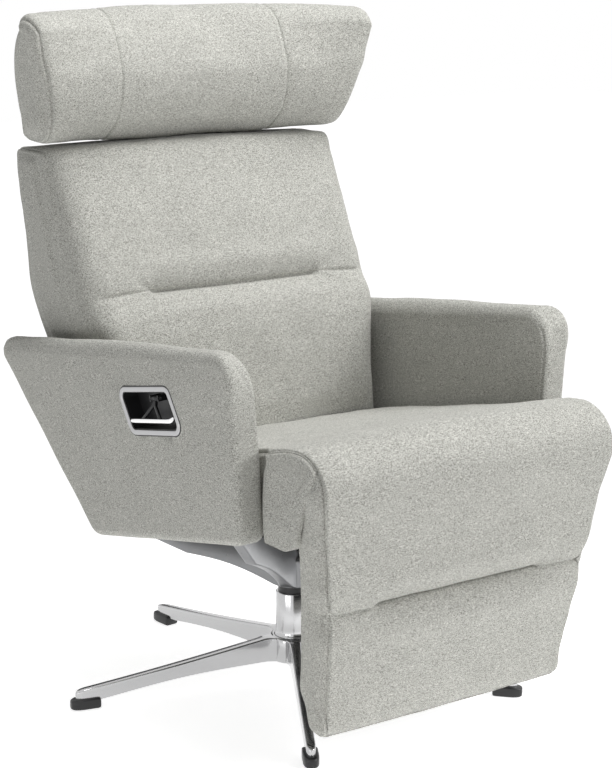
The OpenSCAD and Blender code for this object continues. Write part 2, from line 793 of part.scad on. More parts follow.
module back_cushion() {
    channel = back_hinge[1] + back_rise * channel_share;
    color(wool) difference() {
        cushion(back_outline, function(p) back_width(p), back_edge_r, back_crown,
            [(back_hinge[0] + board_y) / 2 + back_sweep / 3, (back_top + back_low) / 2],
            function(u, p, n) n[0] < 0 ? channel_depth * (abs(u) < pucker_share ? 1 : seam_share)
                * exp(-pow((p[1] - channel) / channel_w, 2)) : 0,
            function(p) smooth((board_front(p[1]) - p[0]) / back_round)
                * smooth((p[1] - back_low) / (2 * back_round))
                * (seam_share + (1 - seam_share) * smooth((back_top - p[1]) / back_round)), function(u, p) 0);
        lug_space();
    }
}
module lug_space() {
    for (side = sides) both(side) translate([lug_in - over - fit, 0, plane_z])
        cube([back_half, cover_top_y, neck_z - plane_z]);
}
cover_outline = dense(rounded([[board_front(back_low), back_low, 0],
    [cover_low_y, back_low + cover_rise, cover_r], [cover_mid[0], cover_mid[1], 0],
    [cover_top_y, back_top, cover_r], [board_front(back_top), back_top, 0]]), form_step);
module back_cover() {
    color(wool) difference() {
        cushion(cover_outline, function(p) back_width(p), back_edge_r, 0,
            [(board_y + cover_low_y + cover_top_y) / 3, (back_top + back_low) / 2],
            function(u, p, n) 0, function(p) smooth((p[0] - board_front(p[1])) / back_round),
                function(u, p) 0);
        board_place() translate([-board_half - fit, -over, -board_z])
            cube([2 * (board_half + fit), board_t + over + fit, board_z + board_l + fit]);
        board_place() translate([-slider_w / 2 - sleeve_t - fit, 0, guide_low])
            cube([slider_w + 2 * (sleeve_t + fit), board_t + slider_t + 2 * sleeve_t + 2 * fit, back_top]);
        board_place() translate([-back_clevis_w, -over, -board_z])
            cube([2 * back_clevis_w, board_t + clevis_t + fit + over, board_z + clevis_up + fit]);
        lug_space();
    }
}
module back_board() {
    color(wood) board_place() translate([-board_half, 0, 0]) cube([2 * board_half, board_t, board_l]);
}
module back_lug(side) {
    color(steel) both(side) difference() {
        plate(lug_in, plate_t) {
            polygon([board_point(lug_foot, 0), board_point(lug_foot, board_t), board_point(lug_top, board_t),
                board_point(lug_top, 0), back_hinge + [0, disc_r], back_hinge - [0, disc_r]]);
            polygon([back_hinge - [disc_r, 0], back_joint - [ear_r, 0], back_joint + [ear_r, 0],
                back_hinge + [disc_r, 0]]);
            translate(back_hinge) circle(r = disc_r, $fn = round_fn);
            translate(back_joint) circle(r = ear_r, $fn = round_fn);
        }
        pin(lug_in - over, plate_t + 2 * over, back_hinge, pin_d + 2 * pin_gap);
        pin(lug_in - over, plate_t + 2 * over, back_joint, link_d);
    }
}
module back_studs() {
    color(steel) for (side = sides) both(side)
        pin(rod_in - over, plate_t + 2 * plate_gap + plate_t + over, back_joint, link_d);
}
// Fork and pin of the gas spring at the back board
module back_clevis() {
    w = gas_eye_w / 2 + plate_gap;
    front = board_t + fit;
    rear = board_t + clevis_t - fit;
    high = clevis_up - hub_step;
    color(steel) {
        for (k = [-1, 1]) translate([k * (w + clevis_t / 2) - clevis_t / 2, 0, 0])
            plate(0, clevis_t) {
                polygon([board_point(0, front), board_point(high, front), board_point(high, rear),
                    board_point(-clevis_t, rear), gas_joint + [0, -ear_r], gas_joint + [-ear_r, 0],
                    board_point(-clevis_t, 2 * clevis_t)]);
                translate(gas_joint) circle(r = ear_r, $fn = round_fn);
            }
        pin(-w - clevis_t, 2 * (w + clevis_t), gas_joint, link_d);
        board_place() translate([-w - clevis_t / 2, board_t, 0])
            cube([2 * w + clevis_t, clevis_t, clevis_up]);
    }
}

// Headrest carrier
slide_t = board_t + sleeve_t;
module headrest_guide() {
    color(black) board_place() difference() {
        translate([-slider_w / 2 - sleeve_t, board_t, sleeve_z])
            cube([slider_w + 2 * sleeve_t, slider_t + 2 * sleeve_t, sleeve_l]);
        translate([-slider_w / 2 - pin_gap, slide_t - pin_gap, sleeve_z - over])
            cube([slider_w + 2 * pin_gap, slider_t + 2 * pin_gap, sleeve_l + 2 * over]);
    }
}
slider_top = (head_hinge[1] - board_z) / cos(board_lean) - slider_short;
module headrest_slider() {
    color(steel) difference() {
        union() {
            board_place() translate([-slider_w / 2, slide_t, slider_top - slider_l])
                cube([slider_w, slider_t, slider_l]);
            plate(-barrel_l / 2, barrel_l) polygon([board_point(slider_top - slider_t, slide_t + slider_t),
                board_point(slider_top, slide_t + slider_t), head_hinge + [0, barrel_d / 2],
                head_hinge - [0, barrel_d / 2], board_point(slider_top - slider_t, slide_t)]);
            pin(-barrel_l / 2, barrel_l, head_hinge, barrel_d);
        }
        pin(-barrel_l, 2 * barrel_l, head_hinge, head_pin_d);
    }
}
module headrest_pin() {
    color(steel) pin(-barrel_l / 2 - core_t - 2 * over, barrel_l + 2 * core_t + 4 * over, head_hinge,
        head_pin_d);
}
module headrest_core() {
    color(steel) difference() {
        union() {
            translate([-core_w / 2, head_hinge[0] + barrel_d / 2, head_hinge[1] + barrel_d / 2 + over])
                cube([core_w, core_t, core_h]);
            for (k = [-1, 1]) translate([k * (barrel_l / 2 + plate_gap + core_t / 2) - core_t / 2, 0, 0])
                plate(0, core_t) {
                polygon([head_hinge - [0, barrel_d / 2], head_hinge - [barrel_d / 2, 0],
                    head_hinge + [barrel_d / 2, barrel_d + over], head_hinge + [barrel_d / 2 + core_t,
                        barrel_d + over], head_hinge + [barrel_d / 2 + core_t, barrel_d / 2 + over]]);
                translate(head_hinge) circle(r = barrel_d / 2, $fn = round_fn);
            }
        }
        pin(-barrel_l, 2 * barrel_l, head_hinge, head_pin_d + pin_gap);
    }
}
// Winged pillow: the outline as shares of its depth and height
head_shares = [[0.92, 0.01, 0.07], [1, 0.24, 0.3], [0.9, 0.93, 0.1], [0.66, 1, 0.06], [0.39, 0.95, 0.07],
    [0.14, 0.73, 0], [0, 0.52, 0], [0.03, 0.31, 0], [0.16, 0.16, 0]];
head_low = head_hinge[1] - head_round;
head_front = head_hinge[0] - head_ahead;
function head_point(q) = [head_front + head_deep * q[0], head_low + head_h * q[1], head_h * q[2]];
head_outline = dense(rounded(concat([for (q = head_shares) head_point(q)],
    arc(head_hinge, head_round, 205, 270, arc_steps))), form_step);
function head_width(p) = head_half - wing_taper * (1 - (p[1] - head_low) / head_h);
module headrest_pillow() {
    a = head_hinge;
    color(wool) difference() {
        cushion(head_outline, function(p) head_width(p), head_edge_r, head_crown,
            [(head_front + head_hinge[0]) / 2, head_low + head_h / 2], function(u, p, n) 0,
            function(p) seam_share + (1 - seam_share) * smooth((p[1] - head_low) / head_round),
            function(u, p) -wing_forward * u * u * (1 + wing_top_share * pow((p[1] - head_low) / head_h, 4)));
        translate([-core_w / 2 - over, a[0] + barrel_d / 2 - fit, head_low - over])
            cube([core_w + 2 * over, core_t + 2 * fit,
                a[1] - head_low + barrel_d / 2 + 2 * over + core_h + fit]);
        translate([-slider_w / 2 - 2 * over, a[0] - barrel_d, head_low - over])
            cube([slider_w + 4 * over, 2 * barrel_d, head_round + barrel_d + over]);
        translate([-slider_w / 2 - 2 * over, a[0], head_low - over])
            cube([slider_w + 4 * over, head_deep, head_round + barrel_d / 2 + over]);
    }
}

// Leg rest, in a frame at its hinge with Z along the pad
module leg_place() translate([0, leg_hinge[0], leg_hinge[1]]) rotate([leg_lean, 0, 0]) children();
function leg_point(y, z) = turned(leg_hinge + [y, z], leg_hinge, leg_lean);
leg_stations = [0.03, 0.1, 0.18, 0.26, 0.34, 0.4, 0.43, 0.449, 0.466, 0.483, 0.502, 0.53, 0.6, 0.7, 0.8,
    0.9, 0.96];
leg_outline = dense(rounded(concat(
    arc([0, 0], leg_t / 2, 0, 180, 2 * arc_steps),
    [for (t = leg_stations) [-leg_t / 2 - leg_bow * sin(180 * t), -leg_l * t, 0]],
    [[-leg_t / 2, -leg_l, edge_small], [leg_t / 6, -leg_l, edge_small],
        [leg_t / 2, -leg_l + leg_t, edge_small]])), form_step);
function leg_width(p) =
    let (t = max(0, -p[1] / leg_l))
    t < leg_seam_share ? nose_half + (leg_mid_half - nose_half) * t / leg_seam_share
        : leg_mid_half + (leg_half - leg_mid_half) * (t - leg_seam_share) / (1 - leg_seam_share);
module legrest_pad() {
    color(wool) leg_place() difference() {
        cushion(leg_outline, function(p) leg_width(p), leg_edge_r, leg_crown, [0, -leg_l / 2],
            function(u, p, n) n[0] < 0 ? channel_depth * (abs(u) < pucker_share ? 1 : seam_share)
                * exp(-pow((p[1] + leg_l * leg_seam_share) / channel_w, 2)) : 0,
            function(p) smooth((leg_t / 2 - p[0]) / leg_edge_r), function(u, p) 0);
        leg_board_shape(fit, leg_t / 2);
        for (side = sides) both(side) {
            translate([rod_in - slot_gap, -disc_r - over, -leg_notch])
                cube([rail_out + plate_t + 2 * slot_gap - rod_in, leg_t, leg_notch + leg_t]);
            translate([lug_in - fit, (leg_t / 2 - leg_board_t) / 2 - fit, -leg_tab - 2 * over])
                cube([plate_t + 2 * fit, leg_t, leg_tab]);
        }
    }
}
module leg_board_shape(gap, deep) {
    h = lug_in + gap;
    translate([0, leg_t / 2 + deep, 0]) rotate([90, 0, 0]) linear_extrude(leg_board_t + gap + deep) polygon([
        [-h, gap - leg_notch], [-h, -leg_tab - gap], [-leg_half + board_inset / 2 - gap,
            -leg_l + leg_t - gap],
        [leg_half - board_inset / 2 + gap, -leg_l + leg_t - gap], [h, -leg_tab - gap], [h, gap - leg_notch]]);
}
module legrest_board() {
    color(black) leg_place() leg_board_shape(0, 0);
}
module legrest_lug(side) {
    y = leg_t / 2 - leg_board_t;
    color(steel) both(side) difference() {
        plate(lug_in, plate_t) {
            polygon([leg_point(y, -leg_tab), leg_point(leg_t / 2, -leg_tab), leg_point(leg_t / 2, -leg_notch),
                leg_joint + [ear_r, 0], leg_hinge + [disc_r, 0], leg_hinge - [disc_r, 0],
                    leg_point(y / 2, -leg_notch)]);
            translate(leg_hinge) circle(r = disc_r, $fn = round_fn);
            translate(leg_joint) circle(r = ear_r, $fn = round_fn);
        }
        pin(lug_in - over, plate_t + 2 * over, leg_hinge, leg_pin_d + 2 * pin_gap);
        pin(lug_in - over, plate_t + 2 * over, leg_joint, link_d);
    }
}
module legrest_studs() {
    color(steel) for (side = sides) both(side)
        pin(rod_in - over, plate_t + 2 * plate_gap + plate_t + over, leg_joint, link_d);
}

// Link from the back's crank to the leg rest's crank, with play in its front eye
module link_rod(side) {
    eye = leg_joint - [0, link_drop];
    dir = unit(eye - back_joint);
    side_way = across(dir) * link_h / 2;
    color(steel) both(side) difference() {
        plate(rod_in, plate_t) {
            polygon([back_joint + side_way, eye + side_way, eye - side_way, back_joint - side_way]);
            translate(back_joint) circle(r = ear_r, $fn = round_fn);
            translate(eye) circle(r = ear_r + fit, $fn = round_fn);
        }
        pin(rod_in - over, plate_t + 2 * over, back_joint, link_d + 2 * pin_gap);
        pin(rod_in - over, plate_t + 2 * over, eye, link_d + 2 * link_play);
    }
}

// Locking gas spring between the front crossbar and the back
gas_way = unit(gas_joint - gas_anchor);
gas_eye = gas_joint - across(gas_way) * -gas_drop;
gas_line = unit(gas_eye - gas_anchor);
module gas_frame() translate([0, gas_anchor[0], gas_anchor[1]])
    rotate([atan2(gas_line[1], gas_line[0]), 0, 0]) children();
module along_y(y, l, d) translate([0, y, 0]) rotate([-90, 0, 0]) cylinder(h = l, d = d, $fn = round_fn);
module gas_clevis() {
    w = gas_eye_w / 2 + plate_gap;
    top = on_plane(cross_front, frame_lift);
    color(steel) {
        for (k = [-1, 1]) translate([k * (w + clevis_t / 2) - clevis_t / 2, 0, 0]) plate(0, clevis_t) {
            polygon([gas_anchor + [ear_r, 0], on_plane(cross_front - cross_w / 2, frame_lift),
                on_plane(cross_front + cross_w / 2, frame_lift), gas_anchor - [ear_r, 0]]);
            translate(gas_anchor) circle(r = ear_r, $fn = round_fn);
        }
        pin(-w - clevis_t, 2 * (w + clevis_t), gas_anchor, link_d);
    }
}
module gas_cylinder() {
    color(black) gas_frame() difference() {
        union() {
            translate([-gas_eye_w / 2, 0, 0]) rotate([0, 90, 0]) cylinder(h = gas_eye_w, r = ear_r,
                $fn = round_fn);
            along_y(ear_r - over, gas_body_l, gas_eye_w);
            along_y(ear_r + gas_neck, gas_body_l - gas_neck, gas_body_d);
        }
        translate([-gas_eye_w, 0, 0]) rotate([0, 90, 0])
            cylinder(h = 2 * gas_eye_w, d = link_d + 2 * pin_gap, $fn = round_fn);
        along_y(gas_bore_start, gas_body_l, gas_rod_d + 2 * pin_gap);
    }
}
module gas_rod() {
    reach = norm(gas_eye - gas_anchor);
    color(polished) gas_frame() difference() {
        union() {
            along_y(gas_bore_start + gas_stroke, reach - gas_bore_start - gas_stroke, gas_rod_d);
            translate([-gas_eye_w / 2, reach, 0]) rotate([0, 90, 0]) cylinder(h = gas_eye_w, r = ear_r,
                $fn = round_fn);
        }
        translate([-gas_eye_w, reach, 0]) rotate([0, 90, 0])
            cylinder(h = 2 * gas_eye_w, d = link_d + 2 * gas_play, $fn = round_fn);
    }
}

base_star();
for (k = [1:blade_count]) foot_pad(k);
column_tube();
lower_bush();
swivel_ring();
spindle();
retaining_washer();
retaining_screw();
seat_carrier();
carrier_bolts();
crossbar(cross_front);  // front_crossbar
crossbar(cross_rear);  // rear_crossbar
seat_webbing();
seat_cushion();
arm_bolts();
back_pins();
legrest_pins();
lever_cup();
lever_bezel();
lever_pin();
release_lever();
back_board();
back_cushion();
back_cover();
back_studs();
back_clevis();
headrest_guide();
headrest_slider();
headrest_pin();
headrest_core();
headrest_pillow();
legrest_board();
legrest_pad();
legrest_studs();
gas_clevis();
gas_cylinder();
gas_rod();
for (side = sides) {
    seat_rail(side);
    back_bracket(side);
    legrest_bracket(side);
    arm_board(side);
    arm_pad(side);
    back_lug(side);
    legrest_lug(side);
    link_rod(side);
}
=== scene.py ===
import bpy
import bmesh
import json
import math
import numpy as np
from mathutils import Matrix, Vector


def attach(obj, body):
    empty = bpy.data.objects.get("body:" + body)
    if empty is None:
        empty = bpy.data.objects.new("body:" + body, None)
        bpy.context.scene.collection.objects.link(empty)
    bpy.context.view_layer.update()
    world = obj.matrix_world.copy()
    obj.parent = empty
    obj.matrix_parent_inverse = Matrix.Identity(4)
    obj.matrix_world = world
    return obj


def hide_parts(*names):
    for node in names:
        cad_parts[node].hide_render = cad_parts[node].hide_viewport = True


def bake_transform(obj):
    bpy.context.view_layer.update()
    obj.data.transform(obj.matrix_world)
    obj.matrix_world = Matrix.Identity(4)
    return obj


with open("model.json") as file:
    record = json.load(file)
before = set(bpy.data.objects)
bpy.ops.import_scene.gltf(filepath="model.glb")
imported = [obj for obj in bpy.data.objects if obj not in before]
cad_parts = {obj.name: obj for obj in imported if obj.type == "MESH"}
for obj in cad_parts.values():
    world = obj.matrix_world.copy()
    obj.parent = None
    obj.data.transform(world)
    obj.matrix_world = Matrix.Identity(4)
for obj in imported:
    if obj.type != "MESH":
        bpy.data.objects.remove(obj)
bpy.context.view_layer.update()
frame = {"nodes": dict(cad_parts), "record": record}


scene = bpy.context.scene
nodes = frame["nodes"]
print("frame loaded")

# Lengths are in millimetres and heights stand over the floor; -Y is the front. What a user may change is in
# one dictionary for each piece, beside its code.


# Small helpers for outlines, which are rows of (y, z) points
def smooth(t):
    t = np.clip(t, 0, 1)
    return t * t * (3 - 2 * t)


def arc(centre, r, a, b, n):
    t = np.radians(np.linspace(a, b, n + 1))
    return [(centre[0] + r * math.cos(k), centre[1] + r * math.sin(k), 0) for k in t]


# Corners (y, z, radius), the round ones as arcs
def rounded(points):
    steps = 8
    out = []
    for i, p in enumerate(points):
        r = p[2]
        b = np.array(p[:2], float)
        if r <= 0:
            out.append(b)
            continue
        u = np.array(points[i - 1][:2], float) - b
        v = np.array(points[(i + 1) % len(points)][:2], float) - b
        u, v = u / np.linalg.norm(u), v / np.linalg.norm(v)
        half = math.acos(max(-1, min(1, float(u @ v)))) / 2
        mid = b + (u + v) / np.linalg.norm(u + v) * r / math.sin(half)
        p0, p1 = b + u * r / math.tan(half) - mid, b + v * r / math.tan(half) - mid
        a0, a1 = math.atan2(p0[1], p0[0]), math.atan2(p1[1], p1[0])
        sweep = (a1 - a0 + 3 * math.pi) % (2 * math.pi) - math.pi
        for k in range(steps + 1):
            a = a0 + sweep * k / steps
            out.append(mid + r * np.array([math.cos(a), math.sin(a)]))
    return np.array(out)


# The same value at every point
def constant(value):
    return lambda p: np.full(len(p), float(value))


# Fine steps within a distance of something, longer ones further away
def stepNear(d, within, fine, growth, coarse):
    return np.clip(fine + growth * np.maximum(d - within, 0), fine, coarse)


# Points along an outline, its corners softened; stepAt gives the spacing wanted at each point
def sampled(points, stepAt, soften, closed=True):
    p = np.array([q[:2] for q in points], float)
    if closed:
        p = np.vstack([p, p[:1]])
    s = np.r_[0, np.cumsum(np.linalg.norm(np.diff(p, axis=0), axis=1))]
    t = np.linspace(0, s[-1], int(s[-1]) + 2)
    q = np.c_[np.interp(t, s, p[:, 0]), np.interp(t, s, p[:, 1])]
    k = np.exp(-0.5 * (np.arange(-3 * soften, 3 * soften + 1) / soften) ** 2)
    k /= k.sum()
    pad = len(k) // 2
    if closed:
        wrapped = np.vstack([q[-pad - 1:-1], q, q[1:pad + 1]])
    else:
        wrapped = np.vstack([2 * q[:1] - q[pad:0:-1], q, 2 * q[-1:] - q[-2:-pad - 2:-1]])
    q = np.c_[np.convolve(wrapped[:, 0], k, "valid"), np.convolve(wrapped[:, 1], k, "valid")]
    d = 1 / stepAt(q)
    c = np.r_[0, np.cumsum((d[1:] + d[:-1]) / 2 * np.diff(t))]
    n = max(8, int(round(c[-1])))
    w = np.interp(np.linspace(0, c[-1], n + 1)[:n if closed else n + 1], c, t)
    return np.c_[np.interp(w, t, q[:, 0]), np.interp(w, t, q[:, 1])]


# Normals of an outline, outward where it's closed
def normals(p, closed=True):
    d = np.roll(p, -1, 0) - np.roll(p, 1, 0) if closed else np.gradient(p, axis=0)
    n = np.c_[d[:, 1], -d[:, 0]]
    n /= np.linalg.norm(n, axis=1)[:, None]
    area = np.sum(p[:, 0] * np.roll(p[:, 1], -1) - np.roll(p[:, 0], -1) * p[:, 1])
    return n if area > 0 or not closed else -n


# The nearest points of a polyline to the points p, and their distances
def nearestOn(line, p):
    line = np.array(line, float)
    best, where = np.full(len(p), 1e9), np.zeros_like(p)
    for a, b in zip(line[:-1], line[1:]):
        t = np.clip(((p - a) @ (b - a)) / ((b - a) @ (b - a)), 0, 1)
        q = a + t[:, None] * (b - a)
        d = np.linalg.norm(p - q, axis=1)
        closer = d < best
        best[closer], where[closer] = d[closer], q[closer]
    return where, best


def newObject(name, data):
    obj = bpy.data.objects.new(name, data)
    scene.collection.objects.link(obj)
    return obj


# A mesh from rows of points in millimetres; each row is a ring when closed
def build(name, rows, closed=True, merge=0.05):
    rows = np.array(rows, float)
    m, n = rows.shape[:2]
    i = np.arange(n if closed else n - 1)
    j = np.arange(m - 1)[:, None]
    a = j * n + i
    b = j * n + (i + 1) % n
    faces = np.stack([a, b, b + n, a + n], -1).reshape(-1, 4)
    mesh = bpy.data.meshes.new(name)
    mesh.from_pydata((rows.reshape(-1, 3) / 1000).tolist(), [], faces.tolist())
    if merge:
        bm = bmesh.new()
        bm.from_mesh(mesh)
        bmesh.ops.remove_doubles(bm, verts=bm.verts, dist=merge / 1000)
        bmesh.ops.dissolve_degenerate(bm, edges=bm.edges, dist=1e-7)
        if closed:
            bmesh.ops.recalc_face_normals(bm, faces=bm.faces)
        bm.to_mesh(mesh)
        bm.free()
    mesh.shade_smooth()
    return newObject(name, mesh)


def gathered(items, key):
    values = np.zeros(len(items) * 3, np.float32)
    items.foreach_get(key, values)
    return values.reshape(-1, 3).astype(float)


def points(obj):
    return gathered(obj.data.vertices, "co") * 1000


def setPoints(obj, co):
    obj.data.vertices.foreach_set("co", (co / 1000).astype(np.float32).ravel())
    obj.data.update()


# Moves each point along its normal by the sum of the effects, in millimetres
def press(obj, *effects):
    co, no = points(obj), gathered(obj.data.vertex_normals, "vector")
    d = sum(effect(co, no) for effect in effects)
    setPoints(obj, co + no * d[:, None])


# Soft, uneven ripples
def waves(amount, size, seed):
    r = np.random.RandomState(seed)
    k = r.normal(size=(7, 3))
    k *= (2 * math.pi / size * r.uniform(0.6, 1.5, 7) / np.linalg.norm(k, axis=1))[:, None]
    phase = r.uniform(0, 2 * math.pi, 7)
    return lambda co, no: amount * np.sin(co @ k.T + phase).sum(1) / 2.6


# A sewn line: a narrow groove with the cloth a little full on both sides
def groove(line, depth, width, pillow=0.25):
    def effect(co, no):
        lo, hi = np.min(line, 0) - 6 * width, np.max(line, 0) + 6 * width
        near = np.all((co > lo) & (co < hi), axis=1)
        out = np.zeros(len(co))
        if near.any():
            d = nearestOn(line, co[near])[1] / width
            out[near] = -depth * np.exp(-d * d) + pillow * depth * np.exp(-((d - 2.2) / 1.3) ** 2)
        return out
    return effect


# Angles round an edge of radius r, close together at the seam
def edgeAngles(r, seamDeg):
    fine = [seamDeg + math.degrees(k / r) for k in (-6, -4, -2.4, -1.2, 0, 1.2, 2.4, 4, 6)]
    coarse = [a for a in range(0, 91, 9) if min(abs(a - f) for f in fine) > 3]
    return sorted(a for a in coarse + fine if 0 <= a <= 90)


# A closed cushion: its outline carried over its width, round edges, sewn edge seams and full sides.
# sink draws its surface in, shift and warp move the outline over the width, lines are extra seams across.
def form(name, outline, half, r, crown, spine, bulge, seamDeg, seamDepth, pitch, sink, extra, seamWidth=2.6,
         soft=None, shift=None, warp=None, place=None, lines=(), sewn=None):
    n = normals(outline)
    phi = np.radians(edgeAngles(r, seamDeg))
    softness = 1 if soft is None else soft(outline)
    w = half(outline)
    mean = float(w.mean())
    widest = float(w.max()) - r
    count = max(2, int(2 * widest / pitch))
    across = list(np.linspace(-1, 1, count + 1)[1:-1])
    for x in lines:
        for k in (-7, -4.5, -2.6, -1.3, 0, 1.3, 2.6, 4.5, 7):
            across += [(x + k) / (mean - r), -(x + k) / (mean - r)]
    across = sorted(across)
    across = [across[0]] + [b for a, b in zip(across, across[1:]) if b - a > 0.5 / widest]

    def section(x, draw, gap, moved=True):
        p = outline if warp is None else warp(outline, gap)
        u = x / w
        d = (draw + crown * u * u) * softness + sink(x, p, n, gap)
        y = p[:, 0] - n[:, 0] * d
        z = p[:, 1] - n[:, 1] * d
        if shift is not None and moved:
            y = y + shift(u, p)
        return np.c_[x, y, z]

    # How far the seam draws the edge in at the angle a
    def dip(a, side):
        here = 1 if sewn is None else sewn(side, n)
        return here * seamDepth * math.exp(-((a - math.radians(seamDeg)) * r / seamWidth) ** 2)

    def edge(side):
        rows = []
        for a in phi:
            gap = r * (1 - math.cos(a))
            k = dip(a, side)
            x = side * (w - gap - k * math.cos(a))
            rows.append(section(x, r * (1 - math.sin(a)) + k * math.sin(a), gap))
        return rows

    # The side panel, which closes on the spine
    def cap(side):
        k = dip(0, side)
        flat = section(side * (w - k), r, 0, False)[:, 1:]
        middle = nearestOn(spine, flat)[0]
        rows = []
        for t in (1, 0.88, 0.74, 0.6, 0.47, 0.35, 0.25, 0.17, 0.1, 0.05, 0.02):
            q = flat + (middle - flat) * t
            if t == 1:
                q = nearestOn(spine, q)[0]
            away = float(smooth(t * 2.2))
            full = w - k + (half(q) + bulge - w + k) * away
            if shift is not None:
                u = side + 0 * w
                q = np.c_[q[:, 0] + shift(u, outline) * (1 - away) + shift(u, q) * away, q[:, 1]]
            rows.append(np.c_[side * full, q])
        return rows

    # Rows are straight in the middle and follow the sides further out
    def lay(f):
        return f * (mean - r) + math.copysign(1, f) * (w - mean) * float(smooth((abs(f) - 0.6) / 0.4))

    left, right = edge(-1), edge(1)
    middle = [section(lay(f), 0 * w, r) for f in across]
    rows = np.array(cap(-1) + left + middle + right[::-1] + cap(1)[::-1])
    if place is not None:
        rows = place(rows.reshape(-1, 3)).reshape(rows.shape)
    obj = build(name, rows)
    press(obj, *extra)
    return obj


# Materials
clothLook = dict(light=(0.635, 0.635, 0.59), dark=(0.19, 0.187, 0.168), shade=(0.69, 0.69, 0.68),
                 slub=(0.80, 0.795, 0.75), slubShare=0.4, yarnScale=620, fleckScale=330, cloudScale=16,
                 bump=0.35, bumpHeight=0.0008, rough=0.92, sheen=0.12)
# Each plain finish: material name, colour, how metallic, lowest and highest roughness
solidLook = {
    "polished_aluminium": ("polishedAluminium", (0.52, 0.52, 0.525), 1, 0.1, 0.2),
    "cast_aluminium": ("castAluminium", (0.27, 0.273, 0.28), 0.9, 0.24, 0.36),
    "black_plastic": ("blackPlastic", (0.012, 0.012, 0.013), 0, 0.3, 0.45),
    "black_steel": ("blackSteel", (0.03, 0.03, 0.033), 0.4, 0.35, 0.5),
    "bright_steel": ("brightSteel", (0.72, 0.72, 0.73), 1, 0.2, 0.32),
    "chrome": ("chromePlate", (0.9, 0.9, 0.91), 1, 0.03, 0.08),
    "satin_trim": ("satinTrim", (0.46, 0.46, 0.465), 1, 0.26, 0.36),
}


# Gives a node's inputs values, or links them to other nodes' outputs
def feed(t, node, inputs):
    for name, value in inputs.items():
        if isinstance(value, bpy.types.NodeSocket):
            t.links.new(value, node.inputs[name])
        else:
            node.inputs[name].default_value = value


def newNode(t, kind, inputs):
    node = t.nodes.new(kind)
    feed(t, node, inputs)
    return node


def newMaterial(name):
    m = bpy.data.materials.new(name)
    m.use_nodes = True
    return m, m.node_tree, m.node_tree.nodes["Principled BSDF"]


def noise(t, scale, stretch, detail, rough):
    where = t.nodes.new("ShaderNodeTexCoord").outputs["Object"]
    mapping = newNode(t, "ShaderNodeMapping", {"Vector": where, "Scale": stretch})
    values = {"Vector": mapping.outputs["Vector"], "Scale": scale, "Detail": detail, "Roughness": rough}
    return newNode(t, "ShaderNodeTexNoise", values).outputs["Fac"]


def ramp(t, source, low, high, colorLow=(0, 0, 0), colorHigh=(1, 1, 1)):
    r = newNode(t, "ShaderNodeValToRGB", {"Fac": source})
    r.color_ramp.elements[0].position = low
    r.color_ramp.elements[1].position = high
    r.color_ramp.elements[0].color = (*colorLow, 1)
    r.color_ramp.elements[1].color = (*colorHigh, 1)
    return r.outputs["Color"]


def mixColor(t, blend, share, under, over):
    node = t.nodes.new("ShaderNodeMix")
    node.data_type = "RGBA"
    node.blend_type = blend
    feed(t, node, {"Factor": share, "A": under, "B": (*over, 1)})
    return node.outputs["Result"]


# Two-tone melange yarn with pale slubs and dark flecks: a colour, and a height for the bump
def weaveGroup():
    g = bpy.data.node_groups.new("melangeYarn", "ShaderNodeTree")
    g.interface.new_socket("Color", in_out="OUTPUT", socket_type="NodeSocketColor")
    g.interface.new_socket("Height", in_out="OUTPUT", socket_type="NodeSocketFloat")
    yarn = noise(g, clothLook["yarnScale"], (1, 1, 1.7), 2.0, 0.6)
    fleck = noise(g, clothLook["fleckScale"], (0.7, 0.7, 2.0), 1.5, 0.6)
    cloud = noise(g, clothLook["cloudScale"], (1, 1, 1), 2, 0.5)
    base = ramp(g, yarn, 0.36, 0.66, clothLook["dark"], clothLook["light"])
    slub = ramp(g, fleck, 0.54, 0.74)
    dark = ramp(g, fleck, 0.26, 0.42, (1, 1, 1), (0, 0, 0))
    weight = newNode(g, "ShaderNodeMath", {0: slub, 1: clothLook["slubShare"]})
    weight.operation = "MULTIPLY"
    slubbed = mixColor(g, "MIX", weight.outputs[0], base, clothLook["slub"])
    shaded = mixColor(g, "MULTIPLY", dark, slubbed, clothLook["shade"])
    patch = newNode(g, "ShaderNodeMapRange", {"Value": cloud, "To Min": 0.93, "To Max": 1.07})
    clouded = newNode(g, "ShaderNodeHueSaturation", {"Color": shaded, "Value": patch.outputs["Result"]})
    newNode(g, "NodeGroupOutput", {"Color": clouded.outputs["Color"], "Height": yarn})
    return g


# Faint wear and brushing for the metals: a roughness between two limits
def wearGroup():
    g = bpy.data.node_groups.new("metalWear", "ShaderNodeTree")
    g.interface.new_socket("Low", in_out="INPUT", socket_type="NodeSocketFloat")
    g.interface.new_socket("High", in_out="INPUT", socket_type="NodeSocketFloat")
    g.interface.new_socket("Rough", in_out="OUTPUT", socket_type="NodeSocketFloat")
    limits = g.nodes.new("NodeGroupInput").outputs
    brushing = noise(g, 60, (1, 1, 3), 3, 0.6)
    between = {"Value": brushing, "To Min": limits["Low"], "To Max": limits["High"]}
    rough = newNode(g, "ShaderNodeMapRange", between)
    newNode(g, "NodeGroupOutput", {"Rough": rough.outputs["Result"]})
    return g


weave = weaveGroup()
wear = wearGroup()


def woolMaterial():
    m, t, p = newMaterial("woolCloth")
    g = t.nodes.new("ShaderNodeGroup")
    g.node_tree = weave
    bump = newNode(t, "ShaderNodeBump", {"Strength": clothLook["bump"], "Distance": clothLook["bumpHeight"],
                                         "Height": g.outputs["Height"]})
    feed(t, p, {"Base Color": g.outputs["Color"], "Normal": bump.outputs["Normal"],
                "Roughness": clothLook["rough"], "Specular IOR Level": 0.15,
                "Sheen Weight": clothLook["sheen"], "Sheen Roughness": 0.6})
    return m


